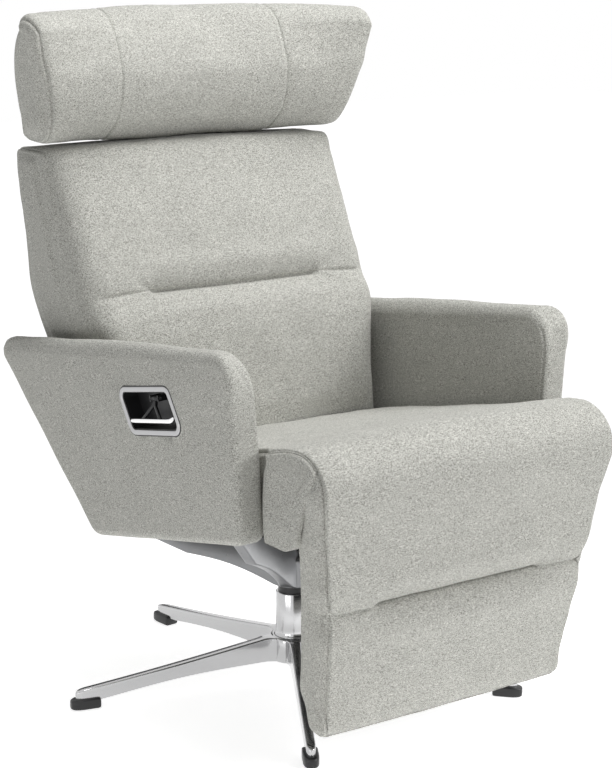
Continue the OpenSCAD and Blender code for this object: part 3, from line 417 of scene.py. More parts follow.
def solidMaterial(name, color, metallic, low, high):
    m, t, p = newMaterial(name)
    g = t.nodes.new("ShaderNodeGroup")
    g.node_tree = wear
    feed(t, g, {"Low": low, "High": high})
    feed(t, p, {"Base Color": (*color, 1), "Metallic": metallic, "Roughness": g.outputs["Rough"]})
    return m


def plywoodMaterial():
    m, t, p = newMaterial("plywoodBoard")
    grain = noise(t, 14, (1, 6, 1), 6, 0.65)
    color = ramp(t, grain, 0.3, 0.7, (0.42, 0.29, 0.16), (0.60, 0.45, 0.28))
    feed(t, p, {"Base Color": color, "Roughness": 0.6})
    return m


def blackClothMaterial():
    m, t, p = newMaterial("blackCloth")
    threads = noise(t, 500, (1, 1, 1), 2, 0.5)
    color = ramp(t, threads, 0.35, 0.65, (0.012, 0.012, 0.013), (0.03, 0.03, 0.032))
    feed(t, p, {"Base Color": color, "Roughness": 0.85})
    return m


finish = {slot: solidMaterial(*look) for slot, look in solidLook.items()}
finish.update(black_cloth=blackClothMaterial(), plywood=plywoodMaterial(), wool=woolMaterial())
for part in frame["record"]["subparts"]:
    obj = nodes[part["node"]]
    obj.data.materials.clear()
    obj.data.materials.append(finish[part["material_slot"]])
print("materials done")


# Gives a piece its finish, the body it rides on and the CAD nodes it stands for
def dressed(obj, slot, body=None, *replaced):
    obj.data.materials.clear()
    obj.data.materials.append(finish[slot])
    if replaced:
        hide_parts(*replaced)
    if body:
        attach(obj, body)


# Seat and leg rest
seatLook = dict(pitchDeg=11.8, frameRear=(108, 266), rear=74, low=30.3, top=130, hinge=(-415, 440), half=248,
                noseHalf=268, noseFrom=-280, noseOver=32, edge=11, crown=7, seamDeg=45, seamDepth=3.4,
                underCloth=11, fill=0.75)
legLook = dict(leanDeg=9.3, length=371, front=31, rear=30, midShare=0.466, midHalf=239, lowHalf=220,
               topInset=2.4, edge=11, crown=4, bow=6, underCloth=13, offBoard=4.5, channelDepth=20,
               channelReach=233, channelCurl=(6, 234.5), tight=150, fill=0.7)
hinge = np.array(seatLook["hinge"], float)
lean = math.radians(legLook["leanDeg"])
seatPitch = math.radians(seatLook["pitchDeg"])
seatSeam = math.radians(seatLook["seamDeg"])
legLength = legLook["length"]


# The height of a point h above the seat frame's underside
def seatZ(y, h):
    rearY, rearZ = seatLook["frameRear"]
    return rearZ + (rearY - y) * math.tan(seatPitch) + h / math.cos(seatPitch)


# A point given in the leg rest's own frame, which hangs from the hinge; legLocal goes the other way
def legPoint(y, z, corner=0):
    c, s = math.cos(lean), math.sin(lean)
    return (hinge[0] + c * y - s * z, hinge[1] + s * y + c * z, corner)


def legLocal(p):
    q = p - hinge
    c, s = math.cos(lean), math.sin(lean)
    return np.c_[c * q[:, 0] + s * q[:, 1], -s * q[:, 0] + c * q[:, 1]]


def legWidth(p):
    t = np.maximum(0, -legLocal(p)[:, 1] / legLength)
    halves = [seatLook["noseHalf"], legLook["midHalf"], legLook["lowHalf"]]
    return np.interp(t, [0, legLook["midShare"], 1], halves)


def seatWidth(p):
    wider = smooth((seatLook["noseFrom"] - p[:, 0]) / seatLook["noseOver"])
    return seatLook["half"] + (seatLook["noseHalf"] - seatLook["half"]) * wider


def skinWidth(p):
    onLeg = (p[:, 0] < -300) & (p[:, 1] < hinge[1])
    return np.where(onLeg, legWidth(p), seatWidth(p))


# 0 on most of the leg rest, 1 at its lower end
def nearTip(p):
    return smooth((51 - legLength - legLocal(p)[:, 1]) / 36)


seatRear = seatLook["rear"]
seatTop = [(seatRear, seatZ(seatRear, seatLook["top"]), 0), (-240, seatZ(-240, seatLook["top"] + 1), 0),
           (-350, 502, 0), (-384, 505.5, 0)]
noseLine = [(-404, 502.6, 0), (-421, 495, 0), (-435, 484, 0), (-445, 470, 0), (-450, 455, 0),
            (-451.6, hinge[1], 0), (-450, 424, 0), (-446, 407, 0)]
legFront = [legPoint(-legLook["front"] - legLook["bow"] * math.sin(math.pi * t), -legLength * t)
            for t in np.linspace(0.16, 0.955, 30)]
legEnd = arc(legPoint(-14, 16 - legLength)[:2], 16, 180 + legLook["leanDeg"], 270 + legLook["leanDeg"], 8)
legEnd += [legPoint(y, z - legLength) for y, z in ((2, 0), (9, 3), (14, 9), (15, 19))]
channelPoint = np.array(legPoint(-legLook["front"] - legLook["bow"], -legLength * legLook["midShare"])[:2])


def legStep(q):
    d = np.linalg.norm(q - channelPoint, axis=1)
    return stepNear(d, within=4, fine=1.3, growth=0.16, coarse=6)


skinPath = sampled(seatTop + noseLine + legFront + legEnd, legStep, closed=False, soften=7)


# The front cloth: seat top, nose and leg rest front in one panel
def skinShape():
    p = skinPath
    n = normals(p, closed=False)
    if n[len(n) // 8, 1] < 0:
        n = -n
    w = skinWidth(p)
    r = seatLook["edge"]
    crown = seatLook["crown"] + (legLook["crown"] - seatLook["crown"]) * smooth((520 - p[:, 1]) / 60)
    ease = 1 - 0.6 * nearTip(p) * (p[:, 1] < 200)

    def row(x, draw):
        u = x / w
        d = (draw + crown * u * u) * ease
        return np.c_[x, p[:, 0] - n[:, 0] * d, p[:, 1] - n[:, 1] * d]

    # The edge dips at the seam, and outside it the cloth is tucked in
    def edge(side):
        rows = [row(side * (w - 6), r + 12), row(side * (w - 3), r + 6)]
        for a in np.radians(edgeAngles(r, seatLook["seamDeg"])):
            k = (seatLook["seamDepth"] + 0.8) * math.exp(-((a - seatSeam) * r / 2.6) ** 2)
            if a < math.radians(seatLook["seamDeg"] - 1):
                k += 2.2
            x = side * (w - r * (1 - math.cos(a)) - k * math.cos(a))
            rows.append(row(x, r * (1 - math.sin(a)) + k * math.sin(a)))
        return rows

    across = np.linspace(-1, 1, 64)[1:-1]
    rows = edge(-1) + [row(f * (w - r), 0) for f in across] + edge(1)[::-1]
    return build("seatFrontCloth", rows, closed=False, merge=0)


# A sewn channel: drawn in hard between its ends, faint outside them, with puckers at the ends
def channelEffect(line, depth, tight, outer, reach, crease, pillow=3.0):
    def effect(co, no):
        d = nearestOn(line, co)[1]
        pull = outer + (1 - outer) * smooth((tight + 7 - np.abs(co[:, 0])) / 14)
        v = -depth * pull * np.exp(-d / reach) - crease * pull ** 0.5 * np.exp(-(d / 2.2) ** 2)
        v += pillow * pull * np.exp(-((d - 3.2 * reach) / (1.4 * reach)) ** 2)
        for side in (-1, 1):
            along = float(np.interp(side * tight, [line[0][0], line[-1][0]], [0, 1]))
            k = int(round(along * (len(line) - 1)))
            c = co - np.array([side * tight, line[k][1], line[k][2]])
            rho = np.linalg.norm(c, axis=1)
            theta = np.arctan2(c[:, 2], side * c[:, 0])
            outside = smooth((side * c[:, 0] + 12) / 20)
            v += 3 * np.cos(5 * theta + 0.6) * np.exp(-(rho / 26) ** 2) * outside * smooth(rho / 9)
        return np.where(d < 6 * reach + 40, v, 0)
    return effect


def frontOnly(effect):
    return lambda co, no: effect(co, no) * smooth((0.2 - no[:, 1]) / 0.3)


# Across the leg rest, its ends a little further back
curl, curlReach = legLook["channelCurl"]
legChannelLine = np.array([[x, channelPoint[0] + curl * (x / curlReach) ** 2, channelPoint[1]]
                           for x in np.linspace(-legLook["channelReach"], legLook["channelReach"], 41)])


def legChannel(line):
    depth, tight = legLook["channelDepth"], legLook["tight"]
    return frontOnly(channelEffect(line, depth, tight, outer=0.42, reach=13, crease=7, pillow=5))


skin = skinShape()
press(skin, legChannel(legChannelLine), waves(0.55, 95, 11), waves(0.25, 34, 12))
dressed(skin, "wool")
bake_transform(skin)
print("front cloth done")

# Under the front cloth the cushion follows it to the nose, laps over the hinge and runs back along the frame
lip = int(np.argmax((skinPath[:, 0] < -400) & (skinPath[:, 1] < 480)))
upperSkin = [(y, z, 0) for y, z in skinPath[8:lip]]
seatFlap = [(-431, 470, 2), (-411.5, 437.5, 0), (-395.5, 405.7, 0), (-382, 367, 8), (-361, 352, 12),
            (-300, 352, 12)]
seatUnder = [(-288, seatZ(-288, seatLook["low"]), 0), (seatRear, seatZ(seatRear, seatLook["low"]), 12)]
topRear = (seatRear, seatZ(seatRear, seatLook["top"]), 30)
seatFaces = sampled(rounded([topRear] + upperSkin + seatFlap + seatUnder), constant(6), soften=3)


# Only the outermost cloth laps over the leg rest; behind it the cushion keeps clear of the hinge
def flapWarp(p, gap):
    keep = float(smooth((6.5 - gap) / 2.5))
    limit = -384 - 70 * smooth((p[:, 1] - 472) / 16)
    moved = np.c_[np.maximum(p[:, 0], limit), p[:, 1]]
    return p * keep + moved * (1 - keep)


# Keeps the cushion below the front cloth that lies over it
def underSkin(x, p, n, gap):
    top = smooth((n[:, 1] * 0.6 - n[:, 0] * 0.9 + 0.1) / 0.3) * (p[:, 1] > 390)
    return top * seatLook["underCloth"] * float(smooth((gap - 4.8) / 5))


def seatSoft(p):
    above = smooth((p[:, 1] - seatZ(p[:, 0], seatLook["low"])) / 40)
    return above * (1 - 0.72 * smooth((-376 - p[:, 0]) / 8) * smooth((476 - p[:, 1]) / 10))


seatBody = form("seatCushionBody", seatFaces, seatWidth, seatLook["edge"], seatLook["crown"],
                spine=[(30, 352), (-385, 440)], bulge=1.5, seamDeg=seatLook["seamDeg"],
                seamDepth=seatLook["seamDepth"], pitch=16, sink=underSkin, soft=seatSoft, warp=flapWarp,
                extra=[waves(0.5, 90, 21)])
dressed(seatBody, "wool", "seat", "seat_cushion")


# Round the hinge, fuller where the cloth of the nose stands away from it
def hingeRound():
    out = []
    for a in range(20, 184, 8):
        r = np.interp(a, [20, 90, 115, 135, 160, 180], [29, 31, 42, 38, 33.5, 31.5])
        out.append((hinge[0] + r * math.cos(math.radians(a)), hinge[1] + r * math.sin(math.radians(a)), 0))
    return out


legCorners = [legPoint(1 - legLook["front"], -legLength, 16), legPoint(10, -legLength, 10),
              legPoint(legLook["rear"], 60 - legLength, 10), legPoint(legLook["rear"], -10)]
legOutline = hingeRound() + [(-448, 424, 0), (-445, 407, 0)] + legFront + legCorners
legFaces = sampled(rounded(legOutline), legStep, soften=4)


# Keeps the front below the front cloth, and the rear clear of the board's face
def legSink(x, p, n, gap):
    front = smooth((-n[:, 0] * 0.9 + n[:, 1] * 0.35 - 0.1) / 0.3)
    behind = smooth((n[:, 0] * math.cos(lean) + n[:, 1] * math.sin(lean) - 0.6) / 0.3)
    return (front * legLook["underCloth"] + behind * legLook["offBoard"]) * float(smooth((gap - 4.2) / 5))


def legHalf(p):
    return legWidth(p) - legLook["topInset"] * smooth((p[:, 1] - 372) / 40)


def legSoft(p):
    return smooth((30 - legLocal(p)[:, 0]) / 14) * (1 - 0.6 * nearTip(p))


legBody = form("legRestBody", legFaces, legHalf, legLook["edge"], legLook["crown"],
               spine=[(-415, 432), legPoint(0, 19 - legLength)[:2]], bulge=2.5,
               seamDeg=seatLook["seamDeg"], seamDepth=seatLook["seamDepth"], pitch=16, sink=legSink,
               soft=legSoft, extra=[legChannel(legChannelLine + [0, 13, 1]), waves(0.5, 90, 22)])
dressed(legBody, "wool", "legrest", "legrest_pad")
print("seat and leg rest done")

# Back
backLook = dict(frontFoot=(76, 372), frontRun=(196, 475), forward=15, low=239, high=277, widerFrom=430,
                widerOver=210, edge=14, round=42, crown=10, channel=632, channelDepth=15, channelReach=268,
                tight=158, fill=0.7)
# How far back the front face is at shares of its height
frontShares = [(0, 0), (0.05, 0), (0.14, 0.03), (0.24, 0.117), (0.417, 0.24), (0.46, 0.3), (0.526, 0.42),
               (0.659, 0.575), (0.792, 0.73), (0.895, 0.87), (1, 1)]


def frontPoint(t):
    (footY, footZ), (runY, runZ) = backLook["frontFoot"], backLook["frontRun"]
    up, back = zip(*frontShares)
    ahead = backLook["forward"] * float(smooth(t / 0.3))
    return (footY - ahead + runY * float(np.interp(t, up, back)), footZ + runZ * t, 0)


def backHalf(p):
    wider = smooth((p[:, 1] - backLook["widerFrom"]) / backLook["widerOver"])
    return backLook["low"] + (backLook["high"] - backLook["low"]) * wider


def backStep(q):
    d = np.abs(q[:, 1] - backLook["channel"]) + 40 * (q[:, 0] > 260)
    return stepNear(d, within=5, fine=1.4, growth=0.14, coarse=7)


backFoot = arc((112, 372), 36, 180, 262, 10)
backRear = [(187, 338, 0), (298, 346, 30), (334, 542, 0), (389, 850, 30), (268, 850, 16)]
backFront = [frontPoint(t) for t in np.linspace(0.97, 0.06, 46)]
backFaces = sampled(rounded(backFoot + backRear + backFront), backStep, soften=8)


# The front rolls back towards the edge seams; the rear stays
def backShift(u, p):
    w = backHalf(p)
    g = np.clip((np.abs(u) * w - w + backLook["round"]) / backLook["round"], 0, 1)
    roll = np.interp(p[:, 1], [372, 399, 566, 625, 700, 798, 850], [4, 10, 46, 60, 58, 40, 30])
    rear = np.interp(p[:, 1], [338, 542, 850], [298, 334, 389])
    front = np.interp(p[:, 1], [372, 500, 600, 700, 850], [61, 88, 128, 180, 257])
    return roll * (1 - np.sqrt(1 - g * g * 0.985)) * np.clip((rear - p[:, 0]) / (rear - front), 0, 1)


# Where the middle of the front face is at a height
def frontCentre(z):
    q = backFaces[(backFaces[:, 0] < 275) & (backFaces[:, 1] > 420)]
    order = np.argsort(q[:, 1])
    return np.interp(z, q[order, 1], q[order, 0])


def backSoft(p):
    return smooth((p[:, 1] - 338) / 70) * (0.5 + 0.5 * smooth((848 - p[:, 1]) / 30))


# The rear face keeps no crown
def backSink(x, p, n, gap):
    return -backLook["crown"] * (x / backHalf(p)) ** 2 * smooth((n[:, 0] - 0.2) / 0.4) * backSoft(p)


def backLine():
    reach = backLook["channelReach"]
    xs = np.linspace(-reach, reach, 61)
    z = backLook["channel"] - 7 * (np.maximum(np.abs(xs) - backLook["tight"], 0) / 110) ** 1.5
    return np.c_[xs, frontCentre(z) + backLook["crown"] * (xs / reach) ** 2, z]


backChannel = channelEffect(backLine(), backLook["channelDepth"], backLook["tight"], outer=0.34, reach=12,
                            crease=4.5)
backBody = form("backCushionBody", backFaces, backHalf, backLook["edge"], backLook["crown"],
                spine=[(165, 400), (318, 800)], bulge=5, seamDeg=40, seamDepth=3.2, pitch=7, sink=backSink,
                soft=backSoft, shift=backShift,
                extra=[frontOnly(backChannel), waves(0.8, 120, 31), waves(0.3, 38, 32)])
dressed(backBody, "wool", "back", "back_cushion", "back_cover")
print("back done")

# Headrest
headLook = dict(front=242, depth=142, foot=850, rise=217, low=855, height=212, half=327, taper=45, wing=34,
                edge=20, crown=7, seamX=158, fill=0.75)
# Points as shares of the depth and the rise, with the corner's radius as a share of the rise
headShares = [(0.92, 0.01, 0.07), (1, 0.24, 0.3), (0.9, 0.93, 0.1), (0.66, 1, 0.06), (0.39, 0.95, 0.07),
              (0.14, 0.73, 0), (0, 0.52, 0), (0.03, 0.31, 0), (0.15, 0.15, 0)]
headOutline = [(headLook["front"] + headLook["depth"] * a, headLook["foot"] + headLook["rise"] * b,
                headLook["rise"] * c) for a, b, c in headShares]
headFaces = sampled(rounded(headOutline + arc((322, 893), 43, 222, 270, 8)), constant(5), soften=12)


def headHalf(p):
    return headLook["half"] - headLook["taper"] * (1 - (p[:, 1] - headLook["low"]) / headLook["height"])


# The wings come forward, most of all near the top
def headShift(u, p):
    up = np.clip((p[:, 1] - headLook["low"]) / headLook["height"], 0, 0.86)
    return -headLook["wing"] * u * u * (1 + 2.7 * up ** 4)


# Raises the underside of the wings, which clears the back
def headSink(x, p, n, gap):
    return 3 * smooth((np.abs(x) / 300 - 0.35) / 0.4) * smooth((-n[:, 1] - 0.5) / 0.3)


# The line of a seam round the pillow, a little under its surface
def headSeam(side):
    x = side * headLook["seamX"]
    ring = np.vstack([headFaces, headFaces[:1]])
    y = ring[:, 0] + headShift(x / headHalf(ring), ring)
    q = np.c_[np.full(len(ring), x), y, ring[:, 1]]
    centre = np.array([x, 315, 955])
    return centre + (q - centre) * 0.985


# A seam with a row of stitches on either side
def twin(line, depth, width, apart):
    stitches = [groove(line + [x, 0, 0], depth * 0.4, width * 0.6, pillow=0) for x in (-apart, apart)]
    return [groove(line, depth, width)] + stitches


def headSoft(p):
    return 0.2 + 0.8 * smooth((p[:, 1] - headLook["low"]) / 45)


headSeams = [effect for side in (-1, 1) for effect in twin(headSeam(side), depth=2.6, width=2.2, apart=5)]
headBody = form("headrestPillowBody", headFaces, headHalf, headLook["edge"], headLook["crown"],
                spine=[(310, 905), (320, 1020)], bulge=5, seamDeg=40, seamDepth=3, pitch=8, sink=headSink,
                soft=headSoft, shift=headShift, lines=(headLook["seamX"],),
                extra=headSeams + [waves(0.6, 110, 41), waves(0.25, 36, 42)])
dressed(headBody, "wool", "headrest", "headrest_pillow")
print("headrest done")

# Arms and the lever's place in the right one
armLook = dict(gap=250, thick=48, edge=12, flareDeg=4.2, toe=0.026, low=345.97, front=-292, crown=5,
               rearCrown=8, corner=27, fill=0.65)
leverLook = dict(place=(48, -86, 508), tiltDeg=10.5, cup=(137, 67), cupDepth=27.5, cupSlant=0.3,
                 cupCorner=14, rod=3.5)
armFaces = sampled(rounded([(108, 266, 22), (367, 527, 14), (armLook["front"], 619, 55),
                            (armLook["front"], armLook["low"], 22)]), constant(7), soften=5)


# The inner face leans outwards and opens towards the rear
def armInner(p):
    up = (p[:, 1] - armLook["low"]) * math.tan(math.radians(armLook["flareDeg"]))
    return armLook["gap"] + up + (p[:, 0] - armLook["front"]) * armLook["toe"]


def moveMatrix(x, y, z):
    m = np.eye(4)
    m[:3, 3] = (x, y, z)
    return m


def turnMatrix(axis, deg):
    c, s = math.cos(math.radians(deg)), math.sin(math.radians(deg))
    m = np.eye(4)
    i, j = {"x": (1, 2), "y": (2, 0), "z": (0, 1)}[axis]
    m[i, i], m[i, j], m[j, i], m[j, j] = c, -s, s, c
    return m


# The lever is drawn in its cup's own frame, on the right arm's outer face
def leverFrame():
    front, low = armLook["front"], armLook["low"]
    toeDeg = math.degrees(math.atan(armLook["toe"]))
    onArm = moveMatrix(armLook["gap"], front, low) @ turnMatrix("z", -toeDeg) \
        @ turnMatrix("y", armLook["flareDeg"]) @ moveMatrix(0, -front, -low)
    onFace = moveMatrix(*leverLook["place"]) @ turnMatrix("x", -leverLook["tiltDeg"])
    return np.diag([-1, 1, 1, 1]) @ onArm @ onFace


leverWorld = leverFrame()


def atLever(p):
    p = np.array(p, float).reshape(-1, 3)
    return (leverWorld @ np.c_[p, np.ones(len(p))].T).T[:, :3]


# The cup's slanted outline drawn in by d, at the depth x
def cupRing(d, x):
    l, h = leverLook["cup"][0] / 2 - d, leverLook["cup"][1] / 2 - d
    k, r = leverLook["cupSlant"] * h, max(3.5, leverLook["cupCorner"] - d)
    q = rounded([(l - k, -h, r), (l + k, h, r), (k - l, h, r), (-l - k, -h, r)])
    return atLever(np.c_[np.full(len(q), x), q])


def cutCup(arm):
    cutter = build("cupCutter", [cupRing(3.0, x) for x in (-leverLook["cupDepth"], 14)], merge=0)
    bm = bmesh.new()
    bm.from_mesh(cutter.data)
    bmesh.ops.holes_fill(bm, edges=bm.edges, sides=0)
    bmesh.ops.recalc_face_normals(bm, faces=bm.faces)
    bm.to_mesh(cutter.data)
    bm.free()
    cut = arm.modifiers.new("cup", "BOOLEAN")
    cut.operation = "DIFFERENCE"
    cut.solver = "EXACT"
    cut.object = cutter
    with bpy.context.temp_override(object=arm, active_object=arm, selected_objects=[arm]):
        bpy.ops.object.modifier_apply(modifier="cup")
    bpy.data.objects.remove(cutter)
    arm.data.materials.clear()
    arm.data.materials.append(finish["wool"])


def makeArm(side, seed):
    sign = -1 if side == "right" else 1

    def place(rows):
        q = rows.copy()
        q[:, 0] = sign * (sign * rows[:, 0] + armLook["thick"] / 2 + armInner(rows[:, 1:]))
        return q

    # A round top, fuller to the rear, and a full outer corner at the front
    def crowned(x, p, n, gap):
        rise = armLook["crown"] + armLook["rearCrown"] * smooth((p[:, 0] + 220) / 260)
        corner = np.maximum(-n[:, 0] + n[:, 1] - 1, 0) * (n[:, 0] < 0) * (n[:, 1] > 0)
        full = armLook["corner"] * smooth(0.3 + sign * x / 40)
        return -rise * smooth((n[:, 1] - 0.3) / 0.5) * (1 - (x / 24.5) ** 2) - full * corner

    # Only the inner edge is sewn, and not along the top
    def sewn(at, n):
        if at * sign > 0:
            return 0 * n[:, 0]
        return 1 - smooth((n[:, 1] - 0.5) / 0.4)

    arm = form("arm" + side.capitalize() + "Body", armFaces, constant(armLook["thick"] / 2), armLook["edge"],
               crown=0, spine=[(-200, 440), (300, 497)], bulge=1, seamDeg=30, seamDepth=2.2, seamWidth=2.0,
               pitch=6, sink=crowned, place=place, sewn=sewn, extra=[waves(0.5, 120, seed)])
    dressed(arm, "wool")
    if side == "right":
        cutCup(arm)
    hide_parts("arm_pad_" + side)
    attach(arm, "seat")


makeArm("left", 51)
makeArm("right", 52)
print("arms done")


# Metal and plastic parts
def revolve(name, profile):
    a = np.linspace(0, 2 * math.pi, 96, endpoint=False)
    rows = [np.c_[r * np.cos(a), r * np.sin(a), np.full(len(a), z)] for r, z in profile]
    return build(name, rows, merge=0.02)


# A rounded rectangle as points (across, up)
def roundBox(w, h, r):
    steps = 5
    r = min(r, w / 2 - 0.05, h / 2 - 0.05)
    out = []
    for quarter, (right, up) in enumerate(((1, 1), (-1, 1), (-1, -1), (1, -1))):
        for k in range(steps + 1):
            a = math.radians(90 * quarter + 90 * k / steps)
            out.append((right * (w / 2 - r) + r * math.cos(a), up * (h / 2 - r) + r * math.sin(a)))
    return np.array(out)


# Rings with both ends drawn together
def capped(rows):
    first, last = rows[0], rows[-1]
    return [np.tile(first.mean(0), (len(first), 1))] + rows + [np.tile(last.mean(0), (len(last), 1))]


# Sections (r, low, high, width, corner) along +X, closed at both ends
def loft(name, sections):
    rows = []
    for r, low, high, w, c in sections:
        q = roundBox(w, high - low, c)
        rows.append(np.c_[np.full(len(q), r), q[:, 0], q[:, 1] + (low + high) / 2])
    return build(name, capped(rows), merge=0.02)


def turnZ(obj, deg):
    c, s = math.cos(math.radians(deg)), math.sin(math.radians(deg))
    co = points(obj)
    co[:, :2] = co[:, :2] @ np.array([[c, s], [-s, c]])
    setPoints(obj, co)


def joined(name, objs):
    with bpy.context.temp_override(object=objs[0], active_object=objs[0], selected_objects=objs,
                                   selected_editable_objects=objs):
        bpy.ops.object.join()
    objs[0].name = name
    return objs[0]


# Star base: five blades on a hub, each on a foot pad
baseLook = dict(blades=5, yawDeg=94.8, reach=365, nose=15, shoulder=52, padFrom=327, top=74, topDrop=44,
                dip=2, swell=0.9, bottom=35, bottomDrop=23, arch=5.5, width=17, flare=13, corner=2.2)
turnDeg = 360 / baseLook["blades"]


def blade(k):
    reach, shoulder = baseLook["reach"], baseLook["shoulder"]
    noseFrom = reach - baseLook["nose"]
    noseSteps = reach - np.array([9, 4.5, 1.5, 0])
    sections = []
    for r in np.r_[np.linspace(20, 60, 14), np.linspace(70, noseFrom, 22), noseSteps]:
        t = min(1, max(0, (r - shoulder) / (reach - shoulder)))
        u = min(1, max(0, (r - 48) / (baseLook["padFrom"] - 48)))
        high = baseLook["top"] - baseLook["topDrop"] * t
        high += baseLook["swell"] * math.exp(-((r - 45) / 9) ** 2) - baseLook["dip"] * math.sin(math.pi * t)
        low = baseLook["bottom"] - baseLook["bottomDrop"] * u
        low += baseLook["arch"] * math.sin(math.pi * u) ** 1.2
        w = baseLook["width"] + baseLook["flare"] * math.exp(-max(0, r - 34) / 8.5) - 2.5 * u
        end = max(0, (r - noseFrom) / baseLook["nose"])
        shrink = math.sqrt(max(0, 1 - end * end))
        w = 3 + (w - 3) * shrink
        mid = (high + low) / 2
        h = (high - low) * (0.55 + 0.45 * shrink)
        sections.append((r, mid - h / 2, mid + h / 2, w, baseLook["corner"]))
    b = loft("blade%d" % k, sections)
    turnZ(b, baseLook["yawDeg"] + turnDeg * k)
    return b


hub = revolve("hubShell", [(0.01, 34.4), (23, 34.2), (34, 34), (36.2, 35), (37, 37.5), (37, 71.5), (36, 74),
                           (33.5, 75), (27.6, 75), (27.6, 60), (0.01, 60)])
star = joined("starBase", [hub] + [blade(k) for k in range(baseLook["blades"])])
dressed(star, "polished_aluminium", "base", "base_star")

column = revolve("columnShell", [(23.5, 38), (27.4, 38), (27.4, 74.6), (31, 75), (29.4, 76.5), (28.3, 79),
                                 (27.7, 83), (27.5, 88), (27.5, 146.5), (27, 147.7), (26, 148), (23.5, 148)])
dressed(column, "polished_aluminium", "base", "column_tube")

padSections = [(326.5, 1.5, 14, 20, 3), (327.5, 0.5, 16.5, 23, 3), (331, 0.1, 17, 24, 3),
               (352, 0.1, 17, 24, 3), (360, 0.1, 17, 23.4, 3.4), (366, 0.2, 16.6, 21, 4),
               (370, 0.6, 15.8, 17, 4), (372.6, 1.6, 14.6, 11, 4)]
for k in range(baseLook["blades"]):
    pad = loft("footPad%d" % (k + 1), padSections)
    turnZ(pad, baseLook["yawDeg"] + turnDeg * k)
    dressed(pad, "black_plastic", "base", "foot_pad_%d" % (k + 1))
print("base done")

# Seat carrier: a hub with four arms, whose feet lie under the seat frame
carrierLook = dict(bore=15.1, low=160.3, high=210.3, armX=238.5, footX=236.5, along=(40, 300), lift=3,
                   foot=(20, 45), kneeShare=0.72, arch=8, width=17.6, flare=14)


# The place (y, z) that is so far along the seat frame from its rear, and so high over its underside
def underFrame(along, up):
    (y, z), c, s = seatLook["frameRear"], math.cos(seatPitch), math.sin(seatPitch)
    return y - along * c + up * s, z + along * s + up * c


def carrierArm(side, along):
    y, z = underFrame(along, carrierLook["lift"])
    armX, low0, high0 = carrierLook["armX"], carrierLook["low"], carrierLook["high"]
    run = math.hypot(armX, y)
    knee = run * carrierLook["kneeShare"]
    sections = []
    for r in np.r_[18, 24, 30, np.linspace(36, knee, 9), np.linspace(run * 0.78, run, 6)]:
        low = np.interp(r, [32, knee, run], [low0 + 1, (low0 + z) / 2 + 12, z - 7])
        high = np.interp(r, [0, knee, run], [high0 - 1, z - 10, z - 1.5])
        low += carrierLook["arch"] * math.sin(math.pi * min(1, max(0, (r - 32) / (knee - 32))))
        w = carrierLook["width"] + carrierLook["flare"] * math.exp(-max(0, r - 26) / 16)
        sections.append((r, low, high, w, 3))
    arm = loft("carrierArm", sections)
    turnZ(arm, math.degrees(math.atan2(y, side * armX)))
    return arm


def carrierFoot(side, along):
    q = roundBox(*carrierLook["foot"], 4)
    rows = []
    for h, bevel in ((-9.8, 1.2), (-9, 0), (-1, 0), (-0.1, 1.2)):
        y, z = underFrame(along - q[:, 1] * (1 - bevel / 25), h + carrierLook["lift"])
        rows.append(np.c_[side * carrierLook["footX"] + q[:, 0] * (1 - bevel / 12), y, z])
    return build("carrierFoot", capped(rows), merge=0.02)


def carrier():
    bore, low, high = carrierLook["bore"], carrierLook["low"], carrierLook["high"]
    parts = [revolve("carrierHub", [(bore, low), (30, low), (31.6, 161), (32, 163), (32, 196), (34, 203),
                                    (34, 208.5), (32.5, high), (bore, high)])]
    for side in (1, -1):
        for along in carrierLook["along"]:
            parts += [carrierArm(side, along), carrierFoot(side, along)]
    return joined("seatCarrierCasting", parts)


dressed(carrier(), "cast_aluminium", "seat", "seat_carrier")
print("carrier done")


# Lever: a rod on a two-armed fork, in a trimmed cup
def tube(name, path, radius, n=16):
    p = np.array(path, float)
    r = np.broadcast_to(np.array(radius, float), (len(p),))
    d = np.gradient(p, axis=0)
    d /= np.linalg.norm(d, axis=1)[:, None]
    side = np.cross(d[0], [0.3, 0.5, 0.8])
    a = np.linspace(0, 2 * math.pi, n, endpoint=False)
    rows = [np.tile(p[0], (n, 1))]
    for i in range(len(p)):
        side = side - d[i] * (side @ d[i])
        side /= np.linalg.norm(side)
        up = np.cross(d[i], side)
        rows.append(p[i] + r[i] * (np.cos(a)[:, None] * side + np.sin(a)[:, None] * up))
    return build(name, rows + [np.tile(p[-1], (n, 1))], merge=0.01)


def bezel():
    profile = ((0.2, -1), (0, 0.6), (0.35, 1.9), (1.1, 2.6), (2.2, 2.8), (3.9, 2.8), (5, 2.5), (5.7, 1.8),
               (6, 0.6), (6, -2))
    rows = [cupRing(d * 1.35 - 2.6, x) for d, x in profile]
    return build("leverBezelRing", rows + rows[:1], merge=0.01)


# A thin dark rim between the trim and the cloth
def bezelSeat():
    rows = [cupRing(d, x) for d, x in ((-3.8, -1.5), (-4.2, 0.4), (-3.8, 1.1), (-2.4, 1.2), (-1.4, -1.5))]
    return build("leverBezelSeat", rows + rows[:1], merge=0.01)


def leverRod(rear, front):
    line = [rear + (0, 1.6, 0), rear + (0, 1.2, 0), rear]
    line += [rear + (front - rear) * t for t in np.linspace(0.1, 0.92, 8)]
    line += [front + bend for bend in ((-0.6, 1.6, 0.2), (-2.4, -0.4, 1), (-5, -1.4, 2.4), (-7, -1.75, 3.5))]
    rod = leverLook["rod"]
    radius = [1.6, 2.9] + [rod] * 11 + [rod - 0.1, rod - 0.3]
    return tube("releaseLeverBar", atLever(line), radius)


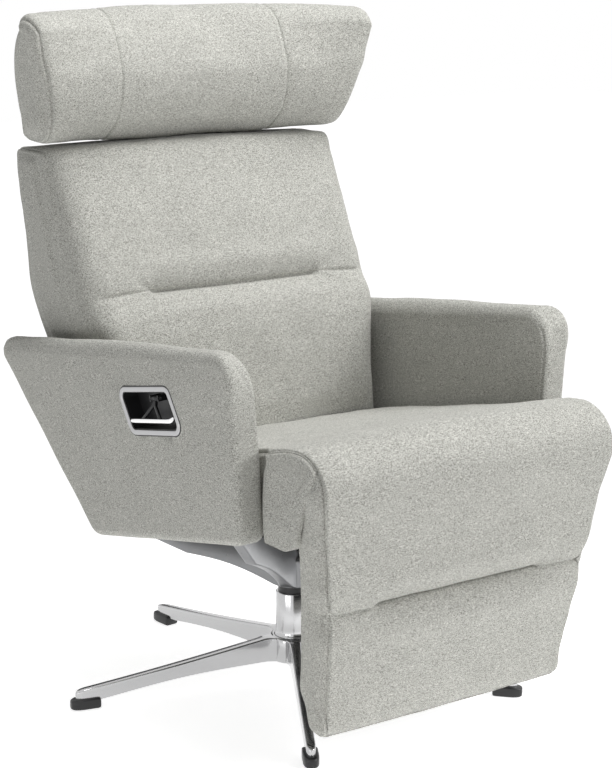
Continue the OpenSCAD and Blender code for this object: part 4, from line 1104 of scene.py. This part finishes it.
def leverArms(middle, rodHalf):
    pivot = np.array([-14, 0, 16])
    parts = []
    for e in (-1, 1):
        foot = middle + (0, e * rodHalf / 2, 0)
        knee = pivot + (foot - pivot) * 0.36 + (0, -e * 6, 0)
        path = [pivot, pivot + (knee - pivot) * 0.5, knee, knee + (foot - knee) * 0.5, foot]
        parts.append(tube("leverArm", atLever(path), [3, 2.9, 2.8, 2.7, 2.6]))
    parts.append(tube("leverHub", atLever([pivot + (0, -9, 0), pivot + (0, 9, 0)]), 5, 24))
    return joined("releaseLeverFork", parts)


# The rod lies low in the cup, between its slanted ends
rodDrop = 14
rodHalf = leverLook["cup"][0] / 2 - 16.5
rodShift = -leverLook["cupSlant"] * rodDrop
rodRear, rodFront = np.array([3, rodHalf + rodShift, -rodDrop]), np.array([3, rodShift - rodHalf, -rodDrop])
dressed(bezel(), "satin_trim", "seat", "lever_bezel")
dressed(bezelSeat(), "black_plastic", "seat")
dressed(leverRod(rodRear, rodFront), "chrome", "lever", "release_lever")
dressed(leverArms((rodRear + rodFront) / 2, rodHalf), "black_plastic", "lever")
print("lever done")

# Floor, light and camera, in metres
stageLook = dict(floorHalf=9.0, floorGlow=1.08, fadeFrom=0.42, fadeTo=1.05, paper=0.8, innerGlow=0.74,
                 worldLight=0.19, keyPower=66, fillPower=6, topPower=92, lens=93.79, azimuthDeg=-35.7524,
                 elevationDeg=12.6832, cameraPlace=(-1.7737, -2.4993, 1.1763))


def rectangle(name, w, h, z=0):
    mesh = bpy.data.meshes.new(name)
    corners = [(-w / 2, -h / 2, z), (w / 2, -h / 2, z), (w / 2, h / 2, z), (-w / 2, h / 2, z)]
    mesh.from_pydata(corners, [], [(0, 1, 2, 3)])
    return newObject(name, mesh)


# White paper: it takes the object's shadow near the middle and glows white further out
def floorMaterial():
    m, t, p = newMaterial("floorPaper")
    length = newNode(t, "ShaderNodeVectorMath", {0: t.nodes.new("ShaderNodeTexCoord").outputs["Object"]})
    length.operation = "LENGTH"
    limits = {"From Min": stageLook["fadeFrom"], "From Max": stageLook["fadeTo"]}
    away = newNode(t, "ShaderNodeMapRange", {"Value": length.outputs["Value"], **limits})
    away.interpolation_type = "SMOOTHSTEP"
    paper = ramp(t, away.outputs["Result"], 0, 1, (stageLook["paper"],) * 3, (0, 0, 0))
    glow = ramp(t, away.outputs["Result"], 0, 1, (stageLook["innerGlow"],) * 3, (1, 1, 1))
    feed(t, p, {"Base Color": paper, "Roughness": 0.9, "Specular IOR Level": 0.0, "Emission Color": glow,
                "Emission Strength": stageLook["floorGlow"]})
    return m


floor = rectangle("floor", 2 * stageLook["floorHalf"], 2 * stageLook["floorHalf"], -0.0005)
floor.data.materials.append(floorMaterial())


def aim(obj, place, look):
    obj.location = place
    obj.rotation_euler = (Vector(look) - Vector(place)).to_track_quat("-Z", "Y").to_euler()


# A dark card that only the metal sees, as an edge in its reflections
def card(name, place, w, h, grey):
    obj = rectangle(name, w, h)
    aim(obj, place, (0, 0, 0.1))
    m, t, p = newMaterial(name + "Paint")
    feed(t, p, {"Base Color": (grey, grey, grey, 1), "Roughness": 0.8})
    obj.data.materials.append(m)
    obj.visible_camera = False
    obj.visible_diffuse = False
    obj.visible_shadow = False
    return obj


cards = [card("darkCardLeft", (-2.4, -1.0, 0.5), 0.5, 1.6, 0.02),
         card("darkCardRight", (1.9, -2.2, 0.5), 0.35, 1.6, 0.03),
         card("darkCardFront", (-0.9, -3.0, 0.35), 0.25, 1.2, 0.02),
         card("darkCardBack", (0.6, 2.6, 0.6), 1.2, 1.4, 0.03)]


def area(name, place, look, size, power):
    lamp = bpy.data.lights.new(name, "AREA")
    lamp.shape = "RECTANGLE"
    lamp.size, lamp.size_y = size
    lamp.energy = power
    obj = newObject(name, lamp)
    aim(obj, place, look)
    return obj


lamps = [area("keyLight", (1.7, -3.0, 2.0), (0, -0.1, 0.55), (1.3, 1.3), stageLook["keyPower"]),
         area("fillLight", (-2.3, -0.9, 0.3), (0, -0.2, 0.3), (1.5, 0.6), stageLook["fillPower"]),
         area("topLight", (0.5, -0.3, 3.4), (0, 0, 0.4), (2.2, 2.2), stageLook["topPower"])]


# The world lights the object softly, and the camera and mirroring surfaces see it white
def studioWorld():
    world = bpy.data.worlds.new("studio")
    world.use_nodes = True
    t = world.node_tree
    t.nodes.clear()
    white = (1, 1, 1, 1)
    soft = newNode(t, "ShaderNodeBackground", {"Color": white, "Strength": stageLook["worldLight"]})
    bright = newNode(t, "ShaderNodeBackground", {"Color": white, "Strength": 1.0})
    path = t.nodes.new("ShaderNodeLightPath").outputs
    seen = path["Is Camera Ray"]
    for ray in ("Is Glossy Ray", "Is Transmission Ray"):
        either = newNode(t, "ShaderNodeMath", {0: seen, 1: path[ray]})
        either.operation = "MAXIMUM"
        seen = either.outputs[0]
    mix = newNode(t, "ShaderNodeMixShader", {"Fac": seen, 1: soft.outputs[0], 2: bright.outputs[0]})
    newNode(t, "ShaderNodeOutputWorld", {"Surface": mix.outputs[0]})
    return world


scene.world = studioWorld()
scene.view_settings.view_transform = "Standard"
camera = newObject("photoCamera", bpy.data.cameras.new("photoCamera"))
azimuth, elevation = math.radians(stageLook["azimuthDeg"]), math.radians(stageLook["elevationDeg"])
behind = Vector((math.sin(azimuth) * math.cos(elevation), -math.cos(azimuth) * math.cos(elevation),
                 math.sin(elevation)))
camera.location = stageLook["cameraPlace"]
camera.rotation_euler = (-behind).to_track_quat("-Z", "Y").to_euler()
camera.data.sensor_width = 36
camera.data.lens = stageLook["lens"]
scene.camera = camera

print("stage done")
